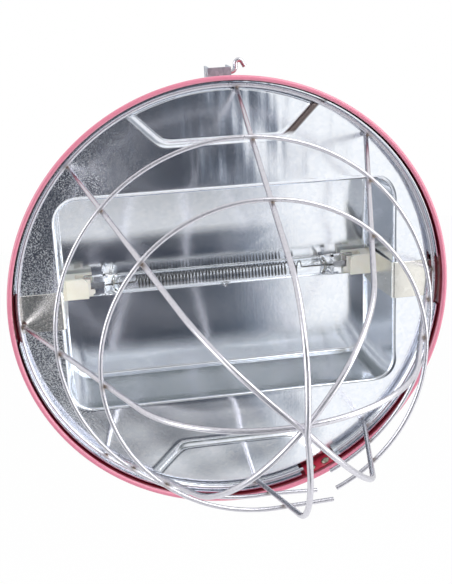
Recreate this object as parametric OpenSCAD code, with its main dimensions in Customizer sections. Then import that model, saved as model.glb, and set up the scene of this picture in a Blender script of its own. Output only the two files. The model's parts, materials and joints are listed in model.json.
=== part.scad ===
// Round infrared heat lamp: a red drum shade with a pressed mirror tray, a double-ended
// quartz lamp across the tray, a snap-in wire dome guard and a wire hanging hook.
// Each module is drawn about the lamp's own axis: x to the right, y up, z out of the
// mouth, with z = 0 at the edge of the reflector's hem. place() then stands the lamp
// upright, its mouth facing -Y, with the origin under the crown of the hanging hook.

/* [Shade] */
// Outside diameter over the rim bead
shade_d = 280; // [272:1:300]
// Depth from the front of the rim to the back face
shade_depth = 84; // [82:1:110]
// Sheet thickness of the drum and its back plate
shade_t = 0.8; // [0.6:0.1:1.2]
// Diameter of the bead rolled round the rim
rim_bead_d = 3; // [2.4:0.1:4]
// How far the rim stands in front of the reflector's hem
rim_lead = 5.5; // [3:0.5:10]
// Draft of the drum wall, degrees
shade_draft = 7.5; // [5:0.5:8]
// Width of the lip that is crimped behind the back plate
crimp_w = 6; // [4:0.5:9]
// Height of the back plate's own edge flange
back_flange_h = 7; // [4:0.5:10]
// Direction of the lap seam and of the guard's squeeze gap, degrees
seam_angle = -66.5; // [-75:0.5:-60]
// Arc covered by the lap seam, degrees
seam_arc = 9; // [7:0.5:14]
// Shank diameter of the rivets
rivet_d = 3; // [2.4:0.1:4]

/* [Reflector] */
// How far the hem's outside lies within the rim's outside
hem_gap = 3.8; // [3.5:0.1:7]
// Depth of the flange behind the hem's edge
hem_h = 9; // [8:0.5:14]
// Sheet thickness of the reflector
sheet_t = 0.7; // [0.5:0.1:1]
// Bend radius between flange and hem
hem_bend_r = 2.5; // [1.5:0.1:4]
// Flange left between the tray's corners and the hem's bend
tray_clear = 4.3; // [3:0.1:12]
// Inside width of the tray at its mouth
tray_w = 137; // [120:1:148]
// Depth of the tray below the flange
tray_depth = 54.7; // [50:0.1:60]
// Draft of the tray's end walls, degrees
tray_end_draft = 3.5; // [1:0.5:6]
// Draft of the tray's long walls, degrees
tray_side_draft = 1; // [0:0.5:4]
// Corner radius of the tray in plan
tray_corner_r = 14; // [12:0.5:20]
// Radius between the tray's floor and walls
tray_floor_r = 6; // [4:0.5:8]
// Radius of the tray's mouth
tray_mouth_r = 6; // [4:0.5:8]
// Reach of the stiffening steps, from their inner edge to their round outer end
step_reach = 32; // [28:0.5:36]
// Half length of a stiffening step's inner edge
step_half = 38; // [25:1:45]
// Height of the stiffening steps
step_h = 3; // [1.5:0.5:3.5]
// Flat flange left between the stiffening steps and the hem's bend
step_margin = 1; // [0.5:0.5:9]

/* [Lamp brackets] */
// Width of the strip brackets
strip_w = 24.4; // [20:0.2:28]
// Thickness of the strip brackets
strip_t = 0.8; // [0.6:0.1:1.2]
// Distance that a strip runs on past the lamp's axis, down the end wall
strip_tail = 9; // [8:0.1:9.4]
// Length of the tab that a strip turns back beside the drum wall
strip_tab = 12; // [9:0.5:16]
// Width of the notches in the hem at the strips
notch_w = 31.5; // [31:0.5:34]
// How far the notches sit below the strips' middle
notch_drop = 2.2; // [0:0.1:2.8]

/* [Lamp] */
// Height of the lamp above the tray's middle
lamp_rise = 2; // [0:0.5:4]
// Depth of the lamp's axis behind the hem's edge
lamp_z = 51; // [46:0.5:51]
// Outside diameter of the quartz tube
tube_d = 14; // [12:0.2:15]
// Wall thickness of the quartz tube
tube_wall = 1.1; // [0.8:0.1:1.5]
// Length of the lamp's pinches beyond its round tube
pinch_l = 17; // [15:0.5:20]
// Width of the flattened pinches
pinch_w = 15; // [13:0.5:16]
// Thickness of the flattened pinches
pinch_t = 3.6; // [3:0.1:4.2]
// How far the end contacts stand beyond the pinches
pinch_setback = 2.5; // [2.2:0.1:4]
// Diameter of the exhaust nub
nub_d = 5; // [3:0.5:6]
// Mean diameter of the filament coil
coil_d = 8.5; // [6:0.1:9]
// Diameter of the filament wire
coil_wire_d = 0.8; // [0.6:0.1:1]
// Pitch of the close turns
coil_pitch = 2.28; // [1.9:0.02:2.5]
// Distance from the left end of the round tube to the coil
coil_inset = 18.5; // [17:0.5:21]
// Distance left clear between the stretched turns and the tube's right end
coil_end_inset = 19.5; // [18:0.5:24]
// Pitch of the two stretched turns at the right end
coil_open_pitch = 4.6; // [3.5:0.1:5]
// Diameter of the lead wires in the lamp
lead_wire_d = 1; // [0.6:0.1:1.2]
// Width of the foils sealed in the pinches
foil_w = 4; // [3:0.2:6]
// Length of the foils
foil_l = 14; // [12:0.5:15]

/* [Lampholders] */
// Length of a holder along the lamp
holder_l = 17.5; // [15:0.5:18]
// Height of a holder
holder_h = 14; // [13.5:0.5:16]
// Thickness of a holder's front jaw
front_jaw_t = 2.6; // [2:0.1:4]
// Thickness of a holder's rear jaw
rear_jaw_t = 4.2; // [3:0.1:4.3]
// Width of the slot that takes the lamp's pinch
holder_slot = 8.8; // [7.8:0.2:9]
// Length of the solid end block behind the slot
holder_block = 6.2; // [5.8:0.1:6.4]
// How much further the rear jaw reaches than the front jaw
jaw_reach = 3; // [0:0.5:4]
// Radius of the front jaw's upper corner
jaw_corner_r = 5; // [2:0.5:5.5]
// Diameter of the contact pins
contact_d = 3.4; // [3:0.1:3.6]
// Travel of the sprung contact
contact_travel = 3; // [2:0.1:3]
// Diameter of the holder screws
holder_screw_d = 2; // [1.6:0.1:2.2]

/* [Guard] */
// Wire diameter of the hoops
hoop_d = 3; // [2.4:0.1:4]
// Wire diameter of the base ring
base_ring_d = 2.8; // [2:0.1:3]
// Wire diameter of the two upper rings
ring_d = 2.5; // [2:0.1:3]
// Height of the dome above the hem's edge
guard_h = 198.7; // [170:1:220]
// Lean of the hoops' straight legs, degrees
hoop_lean = 22.2; // [18:0.2:24]
// Depth of the base ring behind the hem's edge
base_ring_z = 3; // [2.6:0.2:4]
// Height of the middle ring
middle_ring_z = 52.5; // [40:0.5:70]
// Height of the front ring
front_ring_z = 109; // [90:1:125]

/* [Hanger] */
// Wire diameter of the hanging hook
hook_d = 3; // [2.4:0.1:3.4]
// Width of the hanger bracket over its cheeks
hanger_w = 15; // [12:0.5:20]
// Sheet thickness of the hanger bracket
hanger_t = 1.2; // [1:0.1:1.6]
// Depth of the bracket's cheeks
hanger_l = 16; // [12:0.5:20]
// Depth of the bracket's front face behind the hem's edge
hanger_z = 40; // [34:1:46]
// Sideways place of the bracket's middle
hanger_x = 4; // [-4:0.5:8]
// Height of the bracket above the drum wall
hanger_h = 7.5; // [6.5:0.5:12]
// Height of the hook's pivot above the drum wall
pivot_h = 3.7; // [3.2:0.1:5]
// Radius of the hook's curl, to the middle of the wire
curl_r = 2.3; // [2:0.1:6]
// Height of the hook's crown above its pivot
hook_h = 8.7; // [7.5:0.1:40]
// Length of the hook's straight tip
hook_tip = 3.6; // [2:0.2:8]

/* [Terminal box] */
// Length of the terminal cover
box_l = 78; // [70:1:100]
// Width of the terminal cover
box_w = 52; // [46:1:70]
// Depth of the terminal cover
box_h = 32; // [28:1:45]
// Sheet thickness of the terminal cover
box_t = 1.2; // [0.8:0.1:2]
// Diameter of the supply cable that the gland takes
cable_d = 8; // [6:0.5:9]
// Outside diameter of the gland's thread
gland_thread_d = 12; // [11.5:0.5:16]
// Diameter of the internal leads over their sleeves
lead_d = 2.4; // [1.8:0.1:3]
// Diameter of the leads' bare conductors
conductor_d = 1.4; // [1:0.1:1.6]

/* [Clearances] */
// Gap between pieces that lie against each other
seat_gap = 0.05; // [0.02:0.01:0.1]
// Radial clearance of running fits
run_gap = 0.08; // [0.03:0.01:0.1]
// Radial clearance of screws and rivets in their holes
hole_gap = 0.1; // [0.05:0.05:0.2]
// Gap under pieces that only rest in place
rest_gap = 0.3; // [0.2:0.05:0.4]

/* [Hidden] */
$fn = 96;

// Shade, measured at the sheet's two faces
bead_r = shade_d / 2 - rim_bead_d / 2;
bead_z = rim_lead - rim_bead_d / 2;
back_z = rim_lead - shade_depth;
plate_z = back_z + shade_t + seat_gap;
function wall_out(z) = bead_r + shade_t / 2 - (bead_z - z) * tan(shade_draft);
function wall_in(z) = wall_out(z) - shade_t / cos(shade_draft);

// Reflector
hem_in = shade_d / 2 - hem_gap - sheet_t;
flange_z = -hem_h;
floor_z = flange_z - tray_depth;
wall_top_z = flange_z - tray_mouth_r;
wall_run = tray_depth - tray_mouth_r - tray_floor_r;
mouth_hy = tray_w / 2;
// The tray is as long as its corners leave tray_clear to the hem's bend
flange_r = hem_in - hem_bend_r;
corner_reach = flange_r - tray_clear - tray_mouth_r - tray_corner_r;
mouth_hx = tray_corner_r + sqrt(pow(corner_reach, 2) - pow(mouth_hy - tray_corner_r, 2));
step_end_r = flange_r - step_margin;
step_y = step_end_r - step_reach;
floor_hx = mouth_hx - wall_run * tan(tray_end_draft);
floor_hy = mouth_hy - wall_run * tan(tray_side_draft);
function end_wall_x(z) = mouth_hx - (wall_top_z - z) * tan(tray_end_draft);
function end_curve_x(z) = floor_hx - tray_floor_r
  + sqrt(pow(tray_floor_r, 2) - pow(max(0, floor_z + tray_floor_r - z), 2));

// Lamp and holders, along the lamp's own line
strip_low_z = -lamp_z - strip_tail;
strip_gap = 0.15;
strip_face_x = end_curve_x(strip_low_z) - strip_gap - strip_t;
holder_back_x = strip_face_x - seat_gap;
slot_end_x = holder_back_x - holder_block;
contact_x = slot_end_x - contact_travel - rest_gap;
pinch_end_x = contact_x - pinch_setback;
tube_l = 2 * (pinch_end_x - pinch_l);
disc_t = 1.2;
cap_l = 5.5;
cap_end_x = contact_x - disc_t;
cap_start_x = cap_end_x - cap_l;
cap_w = 11;
cap_t = holder_slot - 1.6;
nub_lean = 35;
nub_x = 2.4;
collar_d = contact_d + 1.2;
collar_l = 0.8;
shoulder_t = 1;
collar_x = slot_end_x + shoulder_t + 2 * seat_gap;
plunger_bore_d = collar_d + 2 * run_gap;
coil_start = tube_l / 2 - coil_inset;
coil_turns = floor(
  (coil_start + tube_l / 2 - coil_end_inset - 2 * coil_open_pitch) / coil_pitch);
coil_end = -coil_start + coil_turns * coil_pitch + 2 * coil_open_pitch;

// Guard
leg_gap = seat_gap;
base_ring_r = hem_in - rest_gap - base_ring_d / 2;
foot_z = flange_z + step_h + rest_gap + hoop_d / 2 * sin(hoop_lean);
ring_off = (ring_d / 2 + hoop_d / 2 + leg_gap) / cos(hoop_lean);
leg_at_base = base_ring_r - (base_ring_d / 2 + hoop_d / 2 + leg_gap) / cos(hoop_lean);
function leg_r(z) = leg_at_base - (z + base_ring_z) * tan(hoop_lean);
// Azimuth of the eight legs, a little off the even eighths as the bent wires are
leg_a_angles = [136.3, -48.5];
leg_b_angles = [86.3, -85.5];
leg_c_angles = [47.6, -131.5];
leg_d_angles = [3.2, -177.1];
// Cut ends of the rings, to the right and to the left of the squeeze gap, degrees
base_ring_angles = [-59.6, -71];
middle_ring_angles = [-64.4, -70.7];
front_ring_angles = [-65.3, -68];
// How far the rings' left ends flare outwards after their last hoop, degrees
middle_flare_angle = 7.5;
front_flare_angle = 2.4;

// Hanger
hanger_seat = wall_out(-hanger_z);
pivot_y = hanger_seat + pivot_h;
pivot_z = -hanger_z - hanger_l / 2;
hook_x = hanger_x + hanger_w / 2 + hook_d / 2 + 2.6;
crown_y = pivot_y + hook_h - hook_d / 2;
// Hanging point: under the crown of the hook's curl
hang_x = hook_x + curl_r;
hang_y = crown_y - hook_d / 2;
hang_z = pivot_z;

// Terminal box
cover_z = back_z - box_h;
gland_z = back_z - box_h / 2;
gland_x = 0;
block_l = 34;
block_w = 15;
block_h = 12;
block_y = -11;
lead_y = lamp_rise;
lead_run_z = (floor_z - sheet_t + plate_z + shade_t) / 2;
grommet_x = 11;
bushing_d = 4.2;

module place() {
  translate([-hang_x, hang_z, -hang_y]) rotate([90, 0, 0]) children();
}

// A round wire through the points [u, v] of a plane, its corners bent to radius r. The
// bends are a hair thinner, so that the straights run into them without grazing
module wire_run(points, d, r, thin = 0.01) {
  last = len(points) - 1;
  short = 0.7 * sqrt(2 * r * thin);
  for (i = [0 : last - 1]) {
    a = points[i] + heading(points, i) * (i > 0 ? bend_reach(points, i, r) - short : 0);
    b = points[i + 1]
      - heading(points, i) * (i + 1 < last ? bend_reach(points, i + 1, r) - short : 0);
    if (norm(b - a) > 0.01)
      translate([a[0], a[1], 0]) rotate([0, 0, way(b - a)]) rotate([0, 90, 0])
        cylinder(d = d, h = norm(b - a));
  }
  for (i = [1 : 1 : last - 1]) {
    turn = corner(points, i);
    side = turn > 0 ? 1 : -1;
    start = points[i] - heading(points, i - 1) * bend_reach(points, i, r);
    centre = start + side * r * [-heading(points, i - 1)[1], heading(points, i - 1)[0]];
    from = way(start - centre);
    translate([centre[0], centre[1], 0])
      rotate_extrude(angle = abs(turn), start = side > 0 ? from : from + turn)
        translate([r, 0]) circle(d = d - 2 * thin);
  }
}
function heading(p, i) = (p[i + 1] - p[i]) / norm(p[i + 1] - p[i]);
function way(v) = atan2(v[1], v[0]);
function corner(p, i) = let (t = way(heading(p, i)) - way(heading(p, i - 1)))
  t > 180 ? t - 360 : t < -180 ? t + 360 : t;
function bend_reach(p, i, r) = r * tan(abs(corner(p, i)) / 2);

// Shade

module shade_drum() {
  color("firebrick") difference() {
    union() {
      rotate_extrude() {
        translate([bead_r, bead_z]) circle(d = rim_bead_d, $fn = 48);
        polygon([[wall_in(bead_z), bead_z], [wall_out(bead_z), bead_z],
          [wall_out(back_z), back_z], [wall_out(back_z) - crimp_w, back_z],
          [wall_out(back_z) - crimp_w, back_z + shade_t],
          [wall_in(back_z + shade_t), back_z + shade_t]]);
      }
      rotate_extrude(angle = seam_arc, start = seam_angle - seam_arc / 2)
        polygon([[wall_in(0) - shade_t, 0], [wall_in(0) + shade_t / 4, 0],
          [wall_in(lap_back_z) + shade_t / 4, lap_back_z],
          [wall_in(lap_back_z) - shade_t, lap_back_z]]);
    }
    at_seam_rivets() cylinder(d = rivet_d + 2 * hole_gap, h = 12, center = true);
    at_strip_rivets() cylinder(d = rivet_d + 2 * hole_gap, h = 12, center = true);
    at_hanger_rivets() cylinder(d = rivet_d + 2 * hole_gap, h = 12, center = true);
  }
}
lap_back_z = plate_z + back_flange_h + shade_t + 1;
seam_rivet_z = [-4, -36, -62];
seam_rivet_angle = 2.2;

module at_seam_rivets() {
  for (z = seam_rivet_z)
    for (turn = [-seam_rivet_angle, seam_rivet_angle])
      rotate([0, 0, seam_angle + turn])
        translate([wall_in(z), 0, z]) rotate([0, 90 + shade_draft, 0]) children();
}

// A rivet on its own axis: the sheets lie from -grip/2 to grip/2, the round head outside
module rivet(grip, head = 1.4) {
  cylinder(d = rivet_d, h = grip + 2 * seat_gap, center = true);
  for (side = [-1, 1])
    scale([1, 1, side]) translate([0, 0, grip / 2 + seat_gap])
      rotate_extrude()
        polygon([[0, 0], [rivet_d * 0.95, 0], [rivet_d * 0.8, head * 0.6],
          [rivet_d * 0.4, head], [0, head]]);
}

module seam_rivets() {
  color("rosybrown") at_seam_rivets() rivet(2 * shade_t);
}

module back_plate() {
  reach = wall_in(plate_z) - plate_gap;
  top = plate_z + back_flange_h;
  color("firebrick") difference() {
    rotate_extrude()
      polygon([[0, plate_z], [reach, plate_z], [wall_in(top) - plate_gap, top],
        [wall_in(top) - plate_gap - shade_t, top],
        [reach - shade_t, plate_z + shade_t], [0, plate_z + shade_t]]);
    for (a = [0 : 45 : 315])
      rotate([0, 0, a + 22.5]) translate([0, 0, plate_z]) vent_slot();
    for (side = [-1, 1]) {
      translate([side * grommet_x, lead_y, plate_z])
        cylinder(d = grommet_neck_d + 2 * hole_gap, h = 6, center = true);
      translate([side * cover_screw_x, 0, plate_z])
        cylinder(d = 4 + 2 * hole_gap, h = 6, center = true);
      translate([side * block_screw_x, block_y, plate_z])
        cylinder(d = 3 + 2 * hole_gap, h = 6, center = true);
    }
    translate([earth_x, earth_y, plate_z]) cylinder(d = 4 + 2 * hole_gap, h = 6, center = true);
  }
}
plate_gap = 0.15;
vent_r = 96;
vent_l = 22;
vent_w = 6;

module vent_slot() {
  for (side = [-1, 1])
    translate([vent_r, side * (vent_l - vent_w) / 2, 0])
      cylinder(d = vent_w, h = 6, center = true);
  translate([vent_r, 0, 0]) cube([vent_w, vent_l - vent_w, 6], center = true);
}

// Reflector: one pressed sheet, lofted through loops from the tray's floor to the hem

corner_steps = 5;
long_steps = 21;
short_steps = 10;
bend_steps = 4;
function arc_points(cx, cy, r, from) =
  [for (i = [0 : corner_steps]) let (a = from + 90 * i / corner_steps)
    [cx + r * cos(a), cy + r * sin(a)]];
// The n points between p and q that are seen at even angles from the middle
function between(p, q, n) = let (turn = (way(q) - way(p) + 360) % 360)
  [for (i = [1 : n]) let (a = way(p) + turn * i / (n + 1), v = [cos(a), sin(a)])
    p + (q - p) * (v[1] * p[0] - v[0] * p[1]) / (v[0] * (q - p)[1] - v[1] * (q - p)[0])];
function tray_loop(hx, hy, r) = concat(
  arc_points(hx - r, hy - r, r, 0), between([hx - r, hy], [r - hx, hy], long_steps),
  arc_points(r - hx, hy - r, r, 90), between([-hx, hy - r], [-hx, r - hy], short_steps),
  arc_points(r - hx, r - hy, r, 180), between([r - hx, -hy], [hx - r, -hy], long_steps),
  arc_points(hx - r, r - hy, r, 270), between([hx, r - hy], [hx, hy - r], short_steps));
mouth_loop = tray_loop(mouth_hx, mouth_hy, tray_corner_r);
function round_loop(r) = [for (p = mouth_loop) p * r / norm(p)];
function bend(n) = [for (i = [0 : n]) 90 * i / n];
function floor_loops(r) = [for (a = bend(bend_steps))
  [tray_loop(floor_hx - tray_floor_r + r * sin(a), floor_hy - tray_floor_r + r * sin(a),
    tray_corner_r - tray_floor_r + r * sin(a)), floor_z + tray_floor_r - r * cos(a)]];
function mouth_loops(r) = [for (a = bend(bend_steps))
  [tray_loop(mouth_hx + tray_mouth_r - r * cos(a), mouth_hy + tray_mouth_r - r * cos(a),
    tray_corner_r + tray_mouth_r - r * cos(a)), wall_top_z + r * sin(a)]];
function hem_loops(r) = [for (a = bend(bend_steps))
  [round_loop(hem_in - hem_bend_r + r * sin(a)), flange_z + hem_bend_r - r * cos(a)]];
function backwards(list) = [for (i = [len(list) - 1 : -1 : 0]) list[i]];
front_skin = concat(floor_loops(tray_floor_r), mouth_loops(tray_mouth_r),
  hem_loops(hem_bend_r), [[round_loop(hem_in), 0]]);
back_skin = concat(floor_loops(tray_floor_r + sheet_t), mouth_loops(tray_mouth_r - sheet_t),
  hem_loops(hem_bend_r + sheet_t), [[round_loop(hem_in + sheet_t), 0]]);

// A closed sheet through a list of [loop, z]: its first and last loops are capped by fans
module lofted_sheet(loops) {
  n = len(loops[0][0]);
  last = len(loops) - 1;
  polyhedron(
    points = concat([for (l = loops) for (p = l[0]) [p[0], p[1], l[1]]],
      [[0, 0, loops[0][1]], [0, 0, loops[last][1]]]),
    faces = [for (i = [0 : n - 1]) let (j = (i + 1) % n) each concat(
      [[j, i, (last + 1) * n], [last * n + i, last * n + j, (last + 1) * n + 1]],
      [for (k = [0 : last - 1]) [k * n + i, k * n + j, (k + 1) * n + j]],
      [for (k = [0 : last - 1]) [k * n + i, (k + 1) * n + j, (k + 1) * n + i]])]);
}

module step_outline(inset) {
  intersection() {
    circle(r = step_end_r - inset * 0.4, $fn = 144);
    polygon([[-step_half + inset / 2, step_y + inset], [step_half - inset / 2, step_y + inset],
      [step_half + 45 - inset * 1.4, step_y + 45], [-step_half - 45 + inset * 1.4, step_y + 45]]);
  }
}

module stiffening_step() {
  hull() {
    translate([0, 0, flange_z - sheet_t / 2]) linear_extrude(sheet_t / 2) step_outline(0);
    translate([0, 0, flange_z + step_h - 0.1]) linear_extrude(0.1) step_outline(step_h);
  }
}

module reflector() {
  color("gainsboro") difference() {
    union() {
      lofted_sheet(concat(front_skin, backwards(back_skin)));
      stiffening_step();
      rotate([0, 0, 180]) stiffening_step();
    }
    for (side = [-1, 1]) {
      translate([side * (notch_x + 10), lamp_rise - notch_drop, 0])
        cube([20, notch_w, 40], center = true);
      at_holder(side) {
        bushing_hole(6);
        at_holder_screws() cylinder(d = holder_screw_d + 2 * hole_gap, h = 12, center = true);
      }
    }
    rotate([0, 0, seam_angle]) translate([notch_x + 10, 0, 0])
      cube([20, gap_notch_w, 40], center = true);
  }
}
notch_cut = 3.1;
notch_x = hem_in - notch_cut;
gap_notch_w = 26;

// Strip brackets and lampholders: drawn for the right end, mirrored for the left one

module at_end(side) {
  translate([0, lamp_rise, 0]) rotate([0, 0, side > 0 ? 0 : 180]) children();
}

// On the lamp's axis at the holder's back face, z pointing out of the end wall
module at_holder(side) {
  at_end(side) translate([holder_back_x, 0, -lamp_z]) rotate([0, 90, 0]) children();
}

module at_holder_screws() {
  for (side = [-1, 1]) translate([0, side * holder_screw_y, 0]) children();
}
screw_head_r = 0.85 * holder_screw_d;
holder_screw_y = bushing_d / 2 + 0.8 + screw_head_r + 0.2;

module bushing_hole(h) {
  cylinder(d = bushing_d + 2 * hole_gap, h = 2 * h, center = true);
}

// The tab at the outer end lies along the drum wall, the wall's curve kept clear
tab_gap = 0.9;
tab_bend = 1;
tab_bend_z = flange_z + seat_gap - tab_bend;
tab_bend_x = wall_in(tab_bend_z - (tab_bend + strip_t) * sin(shade_draft)) - tab_gap
  - (tab_bend + strip_t) * cos(shade_draft);
strip_top_z = -lamp_z + holder_slot / 2 + front_jaw_t + 1;
strip_bend = [for (a = [180 : -15 : 90]) a];
function strip_side(off) = concat(
  [[strip_face_x + strip_t - off, strip_low_z], [strip_face_x + strip_t - off, strip_top_z]],
  [for (a = strip_bend)
    let (r = tray_mouth_r + seat_gap + off)
    [mouth_hx + tray_mouth_r - seat_gap + r * cos(a), wall_top_z + r * sin(a)]],
  [for (a = [90, 60, 30, 0, -shade_draft])
    let (r = tab_bend + off)
    [tab_bend_x + r * cos(a), tab_bend_z + r * sin(a)]],
  [let (r = tab_bend + off)
    [tab_bend_x + r * cos(shade_draft) - strip_tab * sin(shade_draft),
      tab_bend_z - r * sin(shade_draft) - strip_tab * cos(shade_draft)]]);

module strip_bracket() {
  difference() {
    rotate([90, 0, 0]) translate([0, 0, -strip_w / 2]) linear_extrude(strip_w)
      polygon(concat(strip_side(0), backwards(strip_side(strip_t))));
    on_tab() cylinder(d = rivet_d + 2 * hole_gap, h = 6, center = true);
    translate([holder_back_x, 0, -lamp_z]) rotate([0, 90, 0]) {
      bushing_hole(3);
      at_holder_screws() cylinder(d = holder_screw_d + 2 * hole_gap, h = 6, center = true);
    }
  }
}
strip_rivet_grip = strip_t + tab_gap + shade_t + 0.2;

// Half way through the strip's tab and the drum wall, z pointing out of the wall
module on_tab() {
  translate([tab_bend_x, 0, tab_bend_z]) rotate([0, 90 + shade_draft, 0])
    translate([strip_tab - 5.5, 0, tab_bend - 0.1 + strip_rivet_grip / 2]) children();
}

module left_strip_bracket() {
  color("silver") at_end(-1) strip_bracket();
}

module right_strip_bracket() {
  color("silver") at_end(1) strip_bracket();
}

module at_strip_rivets() {
  for (side = [-1, 1]) at_end(side) on_tab() children();
}

module strip_rivets() {
  color("lightgray") at_strip_rivets() rivet(strip_rivet_grip);
}

// A ceramic holder, its back face at z = 0 and its jaws towards -z, -x to the front
module holder_body() {
  front_l = holder_l - jaw_reach;
  front_x = -holder_slot / 2 - front_jaw_t;
  difference() {
    translate([front_x, -holder_h / 2, -holder_l])
      cube([front_jaw_t + holder_slot + rear_jaw_t, holder_h, holder_l]);
    translate([0, 0, -holder_block - holder_l / 2])
      cube([holder_slot, holder_h + 2, holder_l], center = true);
    translate([front_x - 1, -holder_h, -holder_l - 1])
      cube([front_jaw_t + 2, 2 * holder_h, holder_l - front_l + 1]);
    translate([front_x - 1, holder_h / 2 - jaw_corner_r, -front_l - 0.01])
      difference() {
        cube([front_jaw_t + 2, jaw_corner_r + 1, jaw_corner_r]);
        translate([-1, 0, jaw_corner_r]) rotate([0, 90, 0])
          cylinder(r = jaw_corner_r, h = front_jaw_t + 4);
      }
    for (side = [-1, 1])
      translate([front_x, side * holder_h / 2, -holder_l / 2])
        rotate([0, 0, 45]) cube([0.9, 0.9, 2 * holder_l], center = true);
    at_holder_screws() translate([0, 0, -holder_screw_l]) cylinder(
      d = holder_screw_d + 2 * hole_gap, h = holder_screw_l + 1);
  }
}
holder_screw_l = 4.5;

module left_lampholder() {
  color("antiquewhite") at_holder(-1)
    difference() {
      mirror([0, 1, 0]) holder_body();
      translate([0, 0, slot_end_x - holder_back_x + shoulder_t])
        cylinder(d = plunger_bore_d, h = holder_block);
      translate([0, 0, slot_end_x - holder_back_x - 1])
        cylinder(d = contact_d + 2 * run_gap, h = holder_block);
    }
}

module right_lampholder() {
  color("antiquewhite") at_holder(1)
    difference() {
      holder_body();
      translate([0, 0, slot_end_x - holder_back_x - 1])
        cylinder(d = contact_d + 2 * run_gap, h = holder_block + 2);
    }
}

module holder_screws() {
  stack = end_wall_x(-lamp_z) + sheet_t - holder_back_x;
  color("gray") for (side = [-1, 1])
    at_holder(side) at_holder_screws() {
      translate([0, 0, -holder_screw_l + hole_gap])
        cylinder(d = holder_screw_d, h = holder_screw_l + stack + 0.5);
      translate([0, 0, stack + 0.4]) difference() {
        cylinder(r = screw_head_r, h = 1.4);
        translate([0, 0, 1.4]) cube([0.5, 5, 1.2], center = true);
      }
    }
}

module contact_plunger() {
  tip = contact_x + seat_gap;
  color("goldenrod") translate([0, lamp_rise, -lamp_z]) rotate([0, -90, 0]) {
    translate([0, 0, tip]) cylinder(d = contact_d, h = collar_x - tip + collar_l);
    translate([0, 0, collar_x]) cylinder(d = collar_d, h = collar_l);
  }
}

module contact_spring() {
  start = collar_x + collar_l + seat_gap;
  color("lightsteelblue") translate([0, lamp_rise, -lamp_z]) rotate([0, -90, 0])
    difference() {
      translate([0, 0, start]) cylinder(d = collar_d - 0.4, h = holder_back_x - start - seat_gap);
      translate([0, 0, start - 1]) cylinder(d = collar_d - 1.4, h = 20);
    }
}

module fixed_contact() {
  tip = contact_x + seat_gap;
  color("goldenrod") translate([0, lamp_rise, -lamp_z]) rotate([0, 90, 0])
    translate([0, 0, tip]) cylinder(d = contact_d, h = holder_back_x - tip - seat_gap);
}

module lead_bushings() {
  stack = end_wall_x(-lamp_z) + sheet_t - holder_back_x;
  color("ivory") for (side = [-1, 1])
    at_holder(side) difference() {
      union() {
        translate([0, 0, seat_gap]) cylinder(d = bushing_d, h = stack + 3);
        translate([0, 0, stack + 0.4]) cylinder(d = bushing_d + 1.6, h = 1.5);
      }
      cylinder(d = lead_d + 0.4, h = 20);
    }
}

// Lamp

module along_lamp(side) {
  translate([0, lamp_rise, -lamp_z]) rotate([0, 90 * side, 0]) children();
}

module pinch_block(gap = 0) {
  w = pinch_w - pinch_t;
  translate([0, 0, tube_l / 2 - tube_d / 2 + 1]) linear_extrude(
    pinch_end_x - tube_l / 2 + tube_d / 2 - 1 + gap) {
    square([pinch_t + 2 * gap, w + 2 * gap], center = true);
    for (side = [-1, 1]) translate([0, side * w / 2]) circle(d = pinch_t + 2 * gap, $fn = 32);
  }
}

module quartz_tube() {
  straight = tube_l - tube_d;
  bore = tube_d - 2 * tube_wall;
  color("aliceblue", 0.4) difference() {
    union() {
      translate([0, lamp_rise, -lamp_z]) rotate([0, 90, 0])
        cylinder(d = tube_d, h = straight, center = true);
      for (side = [-1, 1])
        along_lamp(side) {
          translate([0, 0, straight / 2]) sphere(d = tube_d);
          pinch_block();
        }
      translate([nub_x, lamp_rise, -lamp_z]) rotate([90 - nub_lean, 0, 0])
        translate([0, 0, tube_d / 2 - 0.7]) cylinder(d1 = nub_d, d2 = nub_d * 0.4, h = 3);
    }
    translate([0, lamp_rise, -lamp_z]) rotate([0, 90, 0])
      cylinder(d = bore, h = straight, center = true);
    for (side = [-1, 1])
      along_lamp(side) {
        translate([0, 0, straight / 2]) sphere(d = bore);
        foil(0.02);
        lead_pocket();
      }
  }
}

lead_y_off = coil_d / 2;
foil_end_x = pinch_end_x - 1;
foil_start_x = foil_end_x - foil_l;
foil_t = 0.3;

module foil(gap = 0) {
  translate([-foil_t / 2 - gap, -foil_w / 2 - gap, foil_start_x - gap])
    cube([foil_t + 2 * gap, foil_w + 2 * gap, foil_l + 2 * gap]);
}

module lead_pocket() {
  cylinder(d = lead_wire_d + 2 * hole_gap, h = foil_start_x + 0.01);
  translate([0, 0, foil_end_x - 0.01])
    cylinder(d = lead_wire_d + 2 * hole_gap, h = 5);
}

module sealing_foils() {
  color("slategray") for (side = [-1, 1]) along_lamp(side) foil();
}

module filament_leads() {
  color("dimgray") {
    for (side = [-1, 1]) {
      coil_x = side > 0 ? coil_end : coil_start;
      along_lamp(side) {
        translate([0, 0, coil_x + leg_reach + ball_r])
          cylinder(d = lead_wire_d, h = foil_start_x - coil_x - leg_reach - ball_r - 0.03);
        translate([0, 0, coil_x + leg_reach + ball_r]) sphere(r = ball_r, $fn = 24);
        translate([0, 0, foil_end_x + 0.03])
          cylinder(d = lead_wire_d, h = cap_end_x - foil_end_x - 0.06);
      }
    }
  }
}

// The coil's centre line: close turns, two stretched turns, and short legs that run in
// from the coil's outside to the lamp's axis, where the lead wires take over
curl_rings = 8;
coil_n = (coil_turns + 2) * curl_rings;
function coil_x(i) = let (t = i / curl_rings)
  -coil_start + min(t, coil_turns) * coil_pitch + max(0, t - coil_turns) * coil_open_pitch;
function coil_point(i) = let (a = 360 * i / curl_rings)
  [coil_x(i), coil_d / 2 * cos(a), coil_d / 2 * sin(a)];
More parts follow.
